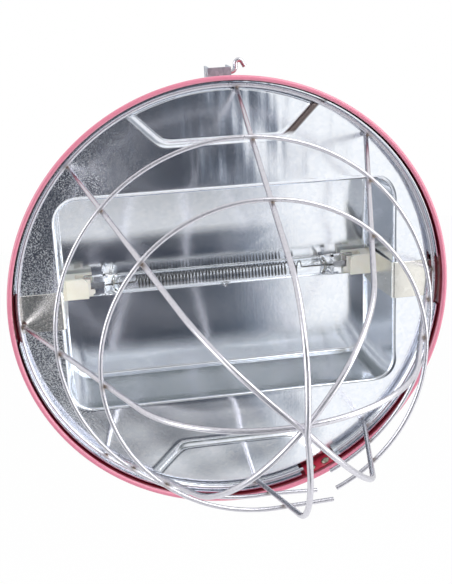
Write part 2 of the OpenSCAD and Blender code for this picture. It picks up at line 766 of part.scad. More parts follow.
// How far a leg reaches beyond the coil, and the ball of the joint with its lead
leg_l = 1.2;
leg_reach = leg_l + coil_wire_d / 2 + seat_gap;
ball_r = 0.75 * coil_wire_d;
coil_line = concat(
  [[-coil_start - leg_l, 0, 0], [-coil_start - 0.75 * leg_l, coil_d / 4, -leg_l / 3]],
  [for (i = [0 : coil_n]) coil_point(i)],
  [[coil_end + 0.75 * leg_l, coil_d / 4, leg_l / 3], [coil_end + leg_l, 0, 0]]);
function unit(v) = v / norm(v);
function line_way(i) = unit(coil_line[min(i + 1, len(coil_line) - 1)] - coil_line[max(i - 1, 0)]);
function tube_ring(i) =
  let (t = line_way(i), n = unit(cross(t, [1, 0.13, 0.07])), b = cross(t, n))
  [for (k = [0 : 5]) coil_line[i] + coil_wire_d / 2 * (n * cos(60 * k) + b * sin(60 * k))];
least_gap = min([for (i = [2 : coil_n - curl_rings]) for (k = [-1 : 1])
  norm(coil_line[i + curl_rings + k] - coil_line[i])]) - coil_wire_d;
echo(least_gap_of_filament_mm = least_gap);

module filament_coil() {
  n = len(coil_line);
  color("dimgray") translate([0, lamp_rise, -lamp_z])
    polyhedron(
      points = [for (i = [0 : n - 1]) each tube_ring(i)],
      faces = concat([[for (k = [5 : -1 : 0]) k]],
        [for (i = [0 : n - 2]) for (k = [0 : 5]) for (half = [0, 1])
          let (m = (k + 1) % 6)
          half == 0 ? [i * 6 + k, i * 6 + m, (i + 1) * 6 + m]
                    : [i * 6 + k, (i + 1) * 6 + m, (i + 1) * 6 + k]],
        [[for (k = [0 : 5]) (n - 1) * 6 + k]]));
}

module end_caps() {
  color("white") for (side = [-1, 1])
    along_lamp(side) difference() {
      union() {
        translate([0, 0, (cap_start_x + cap_end_x) / 2])
          cube([cap_t, cap_w, cap_end_x - cap_start_x], center = true);
        translate([0, 2 - cap_w / 2, cap_start_x - 1]) rotate([0, 90, 0])
          cylinder(d = 3.6, h = cap_t - 2, center = true);
      }
      pinch_block(seat_gap);
      cylinder(d = lead_wire_d + 2 * hole_gap, h = contact_x);
    }
}

module end_contacts() {
  color("silver") for (side = [-1, 1])
    along_lamp(side) translate([0, 0, cap_end_x + seat_gap])
      cylinder(d = contact_d + 0.8, h = contact_x - cap_end_x - seat_gap);
}

// Guard

kink_gap = 0.15;
crown_half = 0.9;

module hoop_leg(azimuth, h) {
  knee = leg_r(h);
  turn = 90 - hoop_lean;
  rotate([0, 0, azimuth]) rotate([90, 0, 0])
    wire_run([[leg_r(foot_z), foot_z], [knee, h], [kink_gap, h]], hoop_d,
      (knee - crown_half) / tan(turn / 2));
}

// One bent wire over the dome; level 0 is the outermost of the four that cross on top
module guard_hoop(legs, level) {
  h = guard_h - level * (hoop_d + leg_gap);
  color("silver") {
    for (azimuth = legs) hoop_leg(azimuth, h);
    translate([0, 0, h]) rotate([0, 0, (legs[0] + legs[1] + 180) / 2]) rotate([0, 90, 0])
      cylinder(d = hoop_d + 0.1, h = 0.7, center = true);
  }
}

module guard_hoop_a() {
  guard_hoop(leg_a_angles, 1);
}

module guard_hoop_b() {
  guard_hoop(leg_b_angles, 0);
}

module guard_hoop_c() {
  guard_hoop(leg_c_angles, 2);
}

module guard_hoop_d() {
  guard_hoop(leg_d_angles, 3);
}

// A ring bent between two directions, its cut ends square
module cut_ring(r, d, from, to) {
  rotate_extrude(angle = 360 + to - from, start = from) translate([r, 0]) circle(d = d);
}

// A split ring whose left end runs on straight past its last hoop and flares outwards
module flared_ring(r, z, ends, flare) {
  last = leg_b_angles[1];
  swing = ends[1] - last;
  run = r * sin(swing) / cos(swing + flare);
  color("silver") translate([0, 0, z]) {
    cut_ring(r, ring_d, ends[0], last - kink_gap * 180 / PI / r);
    rotate([0, 0, last]) translate([r, 0, 0]) {
      rotate([0, 0, -flare / 2]) rotate([90, 0, 0])
        cylinder(d = ring_d + 0.06, h = 0.7, center = true);
      rotate([0, 0, -flare]) rotate([-90, 0, 0]) translate([0, 0, kink_gap])
        cylinder(d = ring_d, h = run - kink_gap);
    }
  }
}

module guard_base_ring() {
  color("silver") translate([0, 0, -base_ring_z])
    cut_ring(base_ring_r, base_ring_d, base_ring_angles[0], base_ring_angles[1]);
}

module guard_middle_ring() {
  flared_ring(leg_r(middle_ring_z) + ring_off, middle_ring_z, middle_ring_angles, middle_flare_angle);
}

module guard_front_ring() {
  flared_ring(leg_r(front_ring_z) + ring_off, front_ring_z, front_ring_angles, front_flare_angle);
}

// Hanger

module hanger_bracket() {
  color("silver") difference() {
    union() {
      translate([hanger_x - hanger_w / 2, hanger_seat + seat_gap, -hanger_z - hanger_t])
        cube([hanger_w, hanger_h, hanger_t]);
      for (side = [0, 1])
        translate([hanger_x - hanger_w / 2 + side * (hanger_w - hanger_t),
          hanger_seat + seat_gap, -hanger_z - hanger_l])
          cube([hanger_t, hanger_h, hanger_l]);
      translate([hanger_x - hanger_w / 2, hanger_seat + seat_gap, -hanger_z]) hanger_foot();
    }
    translate([hanger_x - hanger_w, pivot_y, pivot_z]) rotate([0, 90, 0])
      cylinder(d = hook_d + 2 * run_gap, h = 2 * hanger_w);
    at_hanger_rivets() cylinder(d = rivet_d + 2 * hole_gap, h = 12, center = true);
  }
}

// The foot turns back from the front face and lies down the drum wall's draft
module hanger_foot() {
  rotate([-shade_draft, 0, 0]) translate([hanger_fold, 0, -hanger_foot_l])
    cube([hanger_w - 2 * hanger_fold, hanger_t, hanger_foot_l - hanger_fold]);
}
hanger_fold = 0.3;
hanger_rivet_l = 4.5;
hanger_foot_l = hanger_l + 2 * hanger_rivet_l;

// Two rivets side by side, behind the cheeks, through the foot and the curved wall
module at_hanger_rivets() {
  for (side = [-1, 1])
    translate([hanger_x + side * hanger_rivet_x, hanger_seat, -hanger_z])
      rotate([-shade_draft, 0, 0])
        translate([0, (hanger_t - shade_t - hanger_fall) / 2, -hanger_l - hanger_rivet_l])
          rotate([-90, 0, 0]) children();
}
hanger_rivet_x = hanger_w * 0.24;
// How far the wall has curved down under the outer edge of a rivet's head
hanger_fall = hanger_seat
  - sqrt(pow(hanger_seat, 2) - pow(abs(hanger_x) + hanger_rivet_x + rivet_d + 1, 2));

module hanger_rivets() {
  color("lightgray") at_hanger_rivets() rivet(hanger_t + shade_t + hanger_fall + 0.3);
}

module hanger_hook() {
  head_x = hanger_x - hanger_w / 2 - rest_gap;
  color("silver") translate([0, pivot_y, pivot_z]) {
    wire_run([[head_x, 0], [hook_x, 0], [hook_x, hook_rise]], hook_d, hook_d, 0.03);
    translate([hook_x + curl_r, hook_rise, 0])
      rotate_extrude(angle = curl_angle, start = 180 - curl_angle)
        translate([curl_r, 0]) circle(d = hook_d);
    translate([hook_x + curl_r, hook_rise, 0]) rotate([0, 0, 180 - curl_angle])
      translate([curl_r, 0, 0]) rotate([90, 0, 0]) cylinder(d = hook_d, h = hook_tip);
    translate([head_x, 0, 0]) rotate([0, -90, 0]) cylinder(d = 1.5 * hook_d, h = 1);
  }
}
curl_angle = 150;
hook_rise = crown_y - curl_r - pivot_y;

// Terminal box on the back plate

cover_screw_x = box_l / 2 + 7;
block_screw_x = block_l / 2 + 3.5;
earth_x = -28;
earth_y = 15;
grommet_neck_d = 5;

module terminal_cover() {
  ear = 14;
  color("silver") difference() {
    union() {
      translate([-box_l / 2, -box_w / 2, cover_z]) cube([box_l, box_w, box_h - seat_gap]);
      translate([0, 0, back_z - seat_gap - box_t]) {
        translate([-cover_screw_x, -ear / 2, 0]) cube([2 * cover_screw_x, ear, box_t]);
        for (side = [-1, 1])
          translate([side * cover_screw_x, 0, 0]) cylinder(d = ear, h = box_t);
      }
    }
    translate([-box_l / 2 + box_t, -box_w / 2 + box_t, cover_z + box_t])
      cube([box_l - 2 * box_t, box_w - 2 * box_t, box_h]);
    for (side = [-1, 1])
      translate([side * cover_screw_x, 0, back_z - 6])
        cylinder(d = 4 + 2 * hole_gap, h = 12);
    at_gland() cylinder(d = gland_thread_d + 2 * hole_gap, h = 12, center = true);
  }
}

module at_gland() {
  translate([gland_x, box_w / 2, gland_z]) rotate([-90, 0, 0]) children();
}

// A slotted pan-head screw, head below z = 0, shank of length l above it
module pan_screw(d, l) {
  cylinder(d = d, h = l);
  difference() {
    rotate_extrude() polygon([[0, 0], [d, 0], [d, -0.3 * d], [0.8 * d, -0.6 * d], [0, -0.6 * d]]);
    translate([0, 0, -0.6 * d]) cube([0.22 * d, 3 * d, 0.6 * d], center = true);
  }
}

module cover_screws() {
  color("gray") for (side = [-1, 1])
    translate([side * cover_screw_x, 0, back_z - 2 * seat_gap - box_t]) {
      pan_screw(4, box_t + shade_t * 2 + 5);
      translate([0, 0, box_t + 2 * shade_t + 4 * seat_gap + 0.1]) difference() {
        cylinder(d = 8.1, h = 3, $fn = 6);
        translate([0, 0, -1]) cylinder(d = 3.9, h = 6);
      }
    }
}

block_bore_z = back_z - block_h + 4;

module terminal_block() {
  top = back_z - seat_gap;
  color("whitesmoke") difference() {
    union() {
      translate([-block_screw_x - 3.5, block_y - block_w / 2, top - 3])
        cube([2 * block_screw_x + 7, block_w, 3]);
      for (i = [-1, 0, 1])
        translate([i * grommet_x, block_y, top - block_h / 2])
          cube([8, block_w - 1, block_h], center = true);
    }
    for (i = [-1, 0, 1]) {
      translate([i * grommet_x, block_y, block_bore_z]) rotate([90, 0, 0])
        cylinder(d = 3.4, h = 30, center = true);
      for (side = [-1, 1])
        translate([i * grommet_x, block_y + side * 4, top - block_h - 1])
          cylinder(d = 3, h = block_bore_z - top + block_h + 1);
    }
    for (side = [-1, 1])
      translate([side * block_screw_x, block_y, top - 6]) cylinder(d = 3 + 2 * hole_gap, h = 12);
  }
}

module block_screws() {
  color("gray") for (side = [-1, 1])
    translate([side * block_screw_x, block_y, back_z - 3 - 2 * seat_gap]) pan_screw(3, 7.5);
}

module earth_screw() {
  color("darkseagreen") translate([earth_x, earth_y, back_z - 2 * seat_gap - 1]) {
    pan_screw(4, 9);
    cylinder(d = 10, h = 1);
  }
}

module lead_grommets() {
  color("dimgray") for (side = [-1, 1])
    translate([side * grommet_x, lead_y, 0]) difference() {
      union() {
        translate([0, 0, back_z - 2]) cylinder(d = grommet_neck_d, h = 7);
        translate([0, 0, back_z - 2]) cylinder(d = grommet_neck_d + 4, h = 2 - seat_gap);
        translate([0, 0, plate_z + shade_t + seat_gap])
          cylinder(d = grommet_neck_d + 4, h = 1.6);
      }
      translate([0, 0, back_z - 3]) cylinder(d = lead_d + 0.4, h = 12);
    }
}

// A lead runs behind the tray to its grommet, then turns down into the terminal block
lead_bend_r = 3.4;
conductor_bend_r = 2.5;
sleeve_end_z = back_z - 3;
lead_clear = 8;
lead_out_x = end_wall_x(-lamp_z) + sheet_t + lead_clear;
lead_route = [[holder_back_x + 0.5, -lamp_z], [lead_out_x, -lamp_z], [lead_out_x, lead_run_z],
  [grommet_x, lead_run_z], [grommet_x, sleeve_end_z]];
lead_drop = [[0, sleeve_end_z + 1], [0, block_bore_z], [block_y + 5 - lead_y, block_bore_z]];

module internal_lead(side) {
  at_end(side) rotate([90, 0, 0]) wire_run(lead_route, lead_d, lead_bend_r, 0.04);
  translate([side * grommet_x, lead_y, 0]) rotate([90, 0, 90])
    wire_run(lead_drop, conductor_d, conductor_bend_r, 0.03);
}

module left_internal_lead() {
  color("white") internal_lead(-1);
}

module right_internal_lead() {
  color("white") internal_lead(1);
}

// Cable gland through the top wall of the cover

gland_hex = gland_thread_d + 6;

module gland_body() {
  color("dimgray") at_gland() difference() {
    union() {
      translate([0, 0, -9]) cylinder(d = gland_thread_d, h = 16);
      translate([0, 0, seat_gap]) cylinder(d = gland_hex / cos(30), h = 5, $fn = 6);
      translate([0, 0, 5]) cylinder(d = gland_thread_d, h = 5);
    }
    translate([0, 0, -10]) cylinder(d = cable_d + 0.6, h = 30);
  }
}

module gland_seal() {
  color("black") at_gland() difference() {
    translate([0, 0, 10 + seat_gap]) cylinder(d = gland_thread_d - 0.4, h = 6);
    cylinder(d = cable_d, h = 30);
  }
}

module gland_nut() {
  color("dimgray") at_gland() difference() {
    union() {
      translate([0, 0, 5 + 2 * seat_gap]) cylinder(d = gland_hex / cos(30), h = 8, $fn = 6);
      translate([0, 0, 12]) cylinder(d1 = gland_hex, d2 = gland_hex - 4, h = 6);
    }
    cylinder(d = gland_thread_d + 2 * hole_gap, h = 16 + 2 * seat_gap);
    cylinder(d = cable_d + 1, h = 40);
  }
}

module gland_locknut() {
  color("silver") at_gland() difference() {
    translate([0, 0, -box_t - 3 - seat_gap]) cylinder(d = gland_hex / cos(30), h = 3, $fn = 6);
    translate([0, 0, -10]) cylinder(d = gland_thread_d + 2 * hole_gap, h = 20);
  }
}

place() shade_drum();
place() back_plate();
place() seam_rivets();
place() reflector();
place() left_strip_bracket();
place() right_strip_bracket();
place() strip_rivets();
place() left_lampholder();
place() right_lampholder();
place() holder_screws();
place() contact_plunger();
place() contact_spring();
place() fixed_contact();
place() lead_bushings();
place() quartz_tube();
place() filament_coil();
place() filament_leads();
place() sealing_foils();
place() end_caps();
place() end_contacts();
place() guard_base_ring();
place() guard_middle_ring();
place() guard_front_ring();
place() guard_hoop_a();
place() guard_hoop_b();
place() guard_hoop_c();
place() guard_hoop_d();
place() hanger_bracket();
place() hanger_rivets();
place() hanger_hook();
place() terminal_cover();
place() cover_screws();
place() terminal_block();
place() block_screws();
place() earth_screw();
place() lead_grommets();
place() left_internal_lead();
place() right_internal_lead();
place() gland_body();
place() gland_seal();
place() gland_nut();
place() gland_locknut();
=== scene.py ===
import json
import math

import bmesh
import bpy
import numpy as np
from mathutils import Matrix, Vector


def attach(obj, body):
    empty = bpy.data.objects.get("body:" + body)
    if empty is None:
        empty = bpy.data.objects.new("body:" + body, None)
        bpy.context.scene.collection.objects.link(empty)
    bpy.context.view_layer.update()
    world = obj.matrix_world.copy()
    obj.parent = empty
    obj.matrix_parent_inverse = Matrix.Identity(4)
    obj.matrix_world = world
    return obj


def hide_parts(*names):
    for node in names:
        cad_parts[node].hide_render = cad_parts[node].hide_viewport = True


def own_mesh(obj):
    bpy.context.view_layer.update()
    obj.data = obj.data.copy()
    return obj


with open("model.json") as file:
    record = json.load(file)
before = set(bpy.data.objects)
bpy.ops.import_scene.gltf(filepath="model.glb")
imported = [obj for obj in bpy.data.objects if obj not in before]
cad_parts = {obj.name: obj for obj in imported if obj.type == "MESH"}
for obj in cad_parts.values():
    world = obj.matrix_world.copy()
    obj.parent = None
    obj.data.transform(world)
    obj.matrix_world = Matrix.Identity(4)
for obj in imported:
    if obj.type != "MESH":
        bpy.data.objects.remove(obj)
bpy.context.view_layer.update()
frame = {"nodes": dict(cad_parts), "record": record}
cad = frame["nodes"]

# The lamp is drawn in millimetres about its own axis, as the source is: x to the right, y up,
# z out of the mouth. STAND turns it upright and hangs it by its hook from the origin.
LAMP_AT = Vector((-0.0179, -0.048, -0.142507))
STAND = Matrix.Translation(LAMP_AT) @ Matrix.Rotation(math.radians(90), 4, "X") @ Matrix.Scale(0.001, 4)


def turned(azimuth):
    """The direction away from the axis, at degrees from the right towards the top."""
    a = math.radians(azimuth)
    return np.array([math.cos(a), math.sin(a), 0.0])


# Finishes


class Finish:
    """A material and a short way to add its pattern nodes."""

    def __init__(self, name, **values):
        self.material = bpy.data.materials.new(name)
        self.material.use_nodes = True
        self.nodes = self.material.node_tree.nodes
        self.shader = self.nodes["Principled BSDF"]
        for key, value in values.items():
            self.shader.inputs[key.replace("_", " ")].default_value = value
        self.place = self.nodes.new("ShaderNodeTexCoord").outputs["Object"]
        self.bumps = []

    def link(self, source, target):
        self.material.node_tree.links.new(source, target)

    def stretched(self, scale):
        node = self.nodes.new("ShaderNodeMapping")
        node.inputs["Scale"].default_value = scale
        self.link(self.place, node.inputs["Vector"])
        return node.outputs["Vector"]

    def noise(self, per_metre, detail=3.0, rough=0.55, at=None):
        node = self.nodes.new("ShaderNodeTexNoise")
        node.inputs["Scale"].default_value = per_metre
        node.inputs["Detail"].default_value = detail
        node.inputs["Roughness"].default_value = rough
        self.link(at or self.place, node.inputs["Vector"])
        return node.outputs["Fac"]

    def cells(self, per_metre, colour=False):
        node = self.nodes.new("ShaderNodeTexVoronoi")
        node.inputs["Scale"].default_value = per_metre
        self.link(self.place, node.inputs["Vector"])
        if not colour:
            return node.outputs["Distance"]
        grey = self.nodes.new("ShaderNodeRGBToBW")
        self.link(node.outputs["Color"], grey.inputs["Color"])
        return grey.outputs["Val"]

    def attribute(self, name):
        node = self.nodes.new("ShaderNodeAttribute")
        node.attribute_name = name
        return node.outputs["Fac"]

    def along(self, axis):
        node = self.nodes.new("ShaderNodeSeparateXYZ")
        self.link(self.place, node.inputs["Vector"])
        return node.outputs[axis]

    def ramp(self, value, *stops):
        node = self.nodes.new("ShaderNodeValToRGB")
        band = node.color_ramp
        while len(band.elements) < len(stops):
            band.elements.new(0.5)
        for element, (position, colour) in zip(band.elements, stops):
            element.position = position
            element.color = (*colour, 1)
        self.link(value, node.inputs["Fac"])
        return node.outputs["Color"]

    def between(self, value, low, high, start=0.0, end=1.0):
        node = self.nodes.new("ShaderNodeMapRange")
        for key, number in (("From Min", start), ("From Max", end), ("To Min", low), ("To Max", high)):
            node.inputs[key].default_value = number
        self.link(value, node.inputs["Value"])
        return node.outputs["Result"]

    def combine(self, kind, a, b):
        node = self.nodes.new("ShaderNodeMath")
        node.operation = kind
        for i, value in enumerate((a, b)):
            if isinstance(value, (int, float)):
                node.inputs[i].default_value = value
            else:
                self.link(value, node.inputs[i])
        return node.outputs["Value"]

    def blend(self, factor, a, b):
        node = self.nodes.new("ShaderNodeMix")
        node.data_type = "RGBA"
        for socket, value in ((0, factor), (6, a), (7, b)):
            if isinstance(value, (int, float)):
                node.inputs[socket].default_value = value
            elif isinstance(value, tuple):
                node.inputs[socket].default_value = (*value, 1)
            else:
                self.link(value, node.inputs[socket])
        return node.outputs[2]

    def colour(self, source):
        self.link(source, self.shader.inputs["Base Color"])
        return self

    def rough(self, source):
        self.link(source, self.shader.inputs["Roughness"])
        return self

    def bump(self, height, strength, depth):
        node = self.nodes.new("ShaderNodeBump")
        node.inputs["Strength"].default_value = strength
        node.inputs["Distance"].default_value = depth
        self.link(height, node.inputs["Height"])
        if self.bumps:
            self.link(self.bumps[-1].outputs["Normal"], node.inputs["Normal"])
        self.bumps.append(node)
        self.link(node.outputs["Normal"], self.shader.inputs["Normal"])
        return self


def red_enamel():
    """Crimson enamel under a coat, with a painted pale pink sheen over the rolled rim and painted shade, near
    black, on the drum's inner wall.
    """
    f = Finish("red_enamel", Metallic=0.0, Roughness=0.34, Coat_Weight=1.0, Coat_Roughness=0.16,
               Coat_IOR=1.5, IOR=1.5)
    outer = f.ramp(f.noise(28, 4), (0.3, (0.44, 0.020, 0.048)), (0.7, (0.51, 0.029, 0.062)))
    # painted sheen: the colour turns pale pink over the rolled rim at the front
    painted_sheen_on_bead = f.between(f.along("Y"), 0.9, 0.0, LAMP_AT.y - 0.0038, LAMP_AT.y)
    # painted shade: where the inside attribute marks the drum's inner wall, the colour turns near-black
    # crimson
    f.colour(f.blend(f.attribute("inside"), f.blend(painted_sheen_on_bead, outer, (0.71, 0.22, 0.32)), (0.15, 0.006, 0.016)))
    f.rough(f.between(f.noise(160, 3), 0.28, 0.44))
    f.bump(f.noise(420, 2), 0.10, 0.0006)
    f.bump(f.cells(2600), 0.04, 0.0002)
    return f.material


def mirror_sheet():
    """Bright sheet that smears what it mirrors up and down, with spangle, drawing streaks and a painted brown
    reflection on one step.
    """
    f = Finish("mirror_sheet", Metallic=1.0, Roughness=0.13, Anisotropic=0.9, Anisotropic_Rotation=0.25)
    speckle = f.noise(1900, 3, 0.6)
    spangle = f.cells(420, colour=True)
    bright = f.blend(0.5, f.ramp(spangle, (0.2, (0.76, 0.81, 0.88)), (0.8, (0.86, 0.89, 0.93))),
                     f.ramp(speckle, (0.3, (0.76, 0.80, 0.87)), (0.7, (0.91, 0.92, 0.94))))

    def window(value, *edges):
        """1 between the middle two of four edges, fading to 0 at the outer two."""
        rise = f.between(value, 0, 1, *edges[:2])
        return f.combine("MULTIPLY", rise, f.between(value, 1, 0, *edges[2:]))

    # painted reflection: a dark brown band along the upper step's right slant, standing in for something
    # brown that the sheet mirrors there
    across = f.combine("SUBTRACT", f.along("X"), f.along("Z"))
    width = window(across, 0.0588, 0.0608, 0.0662, 0.0678)
    length = window(f.along("Z"), -0.0425, -0.0395, -0.0222, -0.0196)
    f.colour(f.blend(f.combine("MULTIPLY", width, length), bright, (0.13, 0.105, 0.10)))
    # even grain, and worn grain on the flange at the left
    even = f.between(speckle, 0.12, 0.155, 0.3, 0.7)
    coarse = f.between(f.noise(1250, 3, 0.6), 0.10, 0.40, 0.42, 0.64)
    left = f.between(f.along("X"), 1.0, 0.0, -0.13, -0.05)
    flange = f.between(f.along("Y"), 1.0, 0.0, -0.037, -0.032)
    patches = f.between(f.noise(26, 2), 0.35, 1.0, 0.35, 0.65)
    worn = f.combine("MULTIPLY", f.combine("MULTIPLY", left, flange), patches)
    f.rough(f.blend(worn, even, coarse))
    upper = f.between(f.along("Z"), 0.0, 1.0, -0.076, -0.055)
    streak = f.noise(1, 1, at=f.stretched((105, 30, 10)))
    f.bump(f.combine("MULTIPLY", streak, upper), 0.9, 0.00018)
    f.bump(f.noise(1, 2, at=f.stretched((700, 100, 15))), 0.2, 0.00002)
    f.bump(f.noise(520, 3), 0.04, 0.0002)
    return f.material


def galvanised(name, dark, pale, per_metre, rough):
    f = Finish(name, Metallic=1.0, Roughness=rough)
    spangle = f.cells(per_metre, colour=True)
    stain = f.noise(per_metre * 0.35, 4)
    f.colour(f.blend(0.35, f.ramp(spangle, (0.1, dark), (0.9, pale)),
                     f.ramp(stain, (0.3, dark), (0.75, pale))))
    f.rough(f.between(f.noise(per_metre * 3, 3), rough - 0.08, rough + 0.12))
    f.bump(spangle, 0.03, 0.0002)
    f.bump(f.noise(700, 3), 0.04, 0.0002)
    return f.material


def glazed_ceramic(name, pale, warm, rough):
    f = Finish(name, Roughness=rough, Coat_Weight=0.25, Coat_Roughness=0.2, Subsurface_Weight=0.08,
               Subsurface_Scale=0.002)
    f.colour(f.blend(0.3, f.ramp(f.noise(120, 4), (0.35, pale), (0.75, warm)),
                     f.ramp(f.noise(2600, 2), (0.4, pale), (0.62, warm))))
    f.rough(f.between(f.noise(500, 3), rough - 0.08, rough + 0.12))
    f.bump(f.noise(1500, 3), 0.16, 0.0002)
    return f.material


def clear_quartz():
    f = Finish("clear_quartz", Roughness=0.0, IOR=1.46, Transmission_Weight=1.0, Specular_IOR_Level=0.5)
    f.colour(f.ramp(f.noise(60, 2), (0.4, (0.97, 0.98, 0.99)), (0.6, (1.0, 1.0, 1.0))))
    f.rough(f.between(f.noise(220, 2), 0.0, 0.035))
    f.bump(f.noise(1, 2, at=f.stretched((25, 420, 420))), 0.06, 0.0003)
    return f.material


def drawn_wire():
    f = Finish("drawn_wire", Metallic=1.0, Roughness=0.3)
    heat = f.attribute("weld_heat")
    line = f.noise(1, 3, at=f.stretched((900, 900, 900)))
    plating = f.ramp(line, (0.3, (0.59, 0.58, 0.63)), (0.7, (0.71, 0.70, 0.75)))
    scorch = f.ramp(f.noise(700, 3), (0.35, (0.26, 0.21, 0.18)), (0.7, (0.42, 0.36, 0.32)))
    f.colour(f.blend(f.between(heat, 0.0, 0.85, 0.15, 0.8), plating, scorch))
    f.rough(f.between(heat, 0.27, 0.45))
    f.bump(line, 0.03, 0.0002)
    return f.material


def weld_metal():
    f = Finish("weld_metal", Metallic=0.8, Roughness=0.4)
    f.colour(f.ramp(f.noise(1100, 4), (0.3, (0.16, 0.12, 0.10)), (0.6, (0.34, 0.29, 0.25)),
                    (0.8, (0.5, 0.47, 0.45))))
    f.rough(f.between(f.noise(900, 2), 0.3, 0.55))
    f.bump(f.noise(1400, 3), 0.35, 0.0004)
    return f.material


def plated(name, dark, pale, rough):
    f = Finish(name, Metallic=1.0, Roughness=rough)
    f.colour(f.ramp(f.noise(320, 4), (0.3, dark), (0.7, pale)))
    f.rough(f.between(f.noise(900, 3), rough - 0.06, rough + 0.1))
    f.bump(f.noise(1200, 2), 0.08, 0.0002)
    return f.material


def tungsten():
    f = Finish("tungsten_wire", Metallic=0.0, Roughness=0.42, Specular_IOR_Level=0.6)
    f.colour(f.ramp(f.noise(1800, 3), (0.3, (0.022, 0.022, 0.024)), (0.7, (0.07, 0.068, 0.068))))
    f.rough(f.between(f.noise(2600, 2), 0.36, 0.55))
    f.bump(f.noise(5200, 2), 0.2, 0.0001)
    return f.material


def soft_rubber(name, dark, pale):
    f = Finish(name, Roughness=0.55, Specular_IOR_Level=0.35)
    f.colour(f.ramp(f.noise(300, 4), (0.3, dark), (0.7, pale)))
    f.rough(f.between(f.noise(700, 3), 0.42, 0.7))
    f.bump(f.cells(2400), 0.12, 0.0002)
    return f.material


def braided_sleeve():
    f = Finish("braided_sleeve", Roughness=0.75, Sheen_Weight=0.25, Sheen_Roughness=0.5)
    run, turn = f.attribute("run"), f.attribute("turn")
    strands = []
    for way in (1, -1):
        round_it = f.combine("MULTIPLY", turn, way * 8 * math.tau)
        phase = f.combine("ADD", f.combine("MULTIPLY", run, 2600.0), round_it)
        strands.append(f.combine("SINE", phase, 0.0))
    braid = f.combine("MAXIMUM", strands[0], strands[1])
    f.colour(f.ramp(f.between(braid, 0, 1, -1, 1), (0.2, (0.55, 0.52, 0.44)), (0.8, (0.84, 0.82, 0.75))))
    f.rough(f.between(braid, 0.85, 0.68, -1, 1))
    f.bump(f.between(braid, 0, 1, -1, 1), 0.7, 0.0003)
    return f.material


FINISH = {
    "red_paint": red_enamel(),
    "rivet": plated("dull_rivet", (0.20, 0.18, 0.14), (0.36, 0.33, 0.27), 0.38),
    "reflector_sheet": mirror_sheet(),
    "galvanised_strip": galvanised("galvanised_strip", (0.80, 0.78, 0.72), (0.90, 0.89, 0.84), 240, 0.22),
    "holder_ceramic": glazed_ceramic("holder_ceramic", (0.94, 0.92, 0.84), (0.88, 0.84, 0.72), 0.42),
    "screw": plated("zinc_screw", (0.48, 0.48, 0.46), (0.68, 0.68, 0.66), 0.3),
    "spring_steel": plated("spring_steel", (0.30, 0.30, 0.31), (0.45, 0.45, 0.46), 0.28),
    "contact_metal": plated("nickel_contact", (0.60, 0.56, 0.48), (0.76, 0.72, 0.64), 0.24),
    "quartz": clear_quartz(),
    "filament": tungsten(),
    "foil": plated("sealing_foil", (0.30, 0.31, 0.34), (0.48, 0.50, 0.54), 0.3),
    "cap_ceramic": glazed_ceramic("cap_ceramic", (0.86, 0.85, 0.81), (0.78, 0.75, 0.68), 0.5),
    "guard_wire": drawn_wire(),
    "grommet_rubber": soft_rubber("black_rubber", (0.012, 0.012, 0.013), (0.03, 0.03, 0.032)),
    "lead_sleeve": braided_sleeve(),
    "gland_plastic": soft_rubber("grey_nylon", (0.16, 0.165, 0.17), (0.22, 0.225, 0.23)),
}
WELD = weld_metal()
BRACKET_ZINC = galvanised("bracket_zinc", (0.30, 0.34, 0.40), (0.56, 0.60, 0.66), 330, 0.48)
BOX_ZINC = galvanised("box_zinc", (0.48, 0.49, 0.50), (0.70, 0.71, 0.71), 150, 0.38)
BLOCK_PLASTIC = soft_rubber("white_block", (0.66, 0.65, 0.61), (0.76, 0.75, 0.71))


# Making pieces


def piece(name, mesh, finish, body, replaced=(), sharp=35):
    """Stands a finished mesh in the scene, on its body."""
    thing = bpy.data.objects.new(name, mesh)
    bpy.context.scene.collection.objects.link(thing)
    mesh.materials.clear()
    mesh.materials.append(finish)
    mesh.polygons.foreach_set("use_smooth", [True] * len(mesh.polygons))
    if not mesh.has_custom_normals:
        mesh.set_sharp_from_angle(angle=math.radians(sharp))
    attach(thing, body)
    if replaced:
        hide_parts(*replaced)
    return thing


def mesh_of(name, points, faces):
    mesh = bpy.data.meshes.new(name)
    mesh.from_pydata([tuple(p) for p in points], [], [tuple(f) for f in faces])
    mesh.transform(STAND)
    mesh.validate()
    mesh.update()
    return mesh


def set_right(mesh):
    """Merges doubles and points every face outwards."""
    b = bmesh.new()
    b.from_mesh(mesh)
    bmesh.ops.remove_doubles(b, verts=b.verts, dist=1e-6)
    bmesh.ops.recalc_face_normals(b, faces=b.faces)
    b.to_mesh(mesh)
    b.free()
    mesh.update()
    return mesh


def lathed(name, outline, steps, start=0.0, sweep=360.0):
    """Turns a closed outline of (radius, z) about the lamp's axis."""
    closed = sweep >= 360
    count = steps if closed else steps + 1
    outline = np.array(outline, float)
    n = len(outline)
    angles = np.radians(start + sweep * np.arange(count) / steps)
    points = np.empty((count, n, 3))
    points[:, :, 0] = outline[None, :, 0] * np.cos(angles)[:, None]
    points[:, :, 1] = outline[None, :, 0] * np.sin(angles)[:, None]
    points[:, :, 2] = outline[None, :, 1]
    faces = []
    for i in range(steps):
        a, b = i * n, (i + 1) % count * n
        faces += [(a + k, b + k, b + (k + 1) % n, a + (k + 1) % n) for k in range(n)]
    if not closed:
        faces += [tuple(range(n)), tuple(range(steps * n + n - 1, steps * n - 1, -1))]
    return set_right(mesh_of(name, points.reshape(-1, 3), faces))


def arc(centre, radius, start, end, steps):
    return [
        (centre[0] + radius * math.cos(a), centre[1] + radius * math.sin(a))
        for a in np.radians(np.linspace(start, end, steps + 1))
    ]


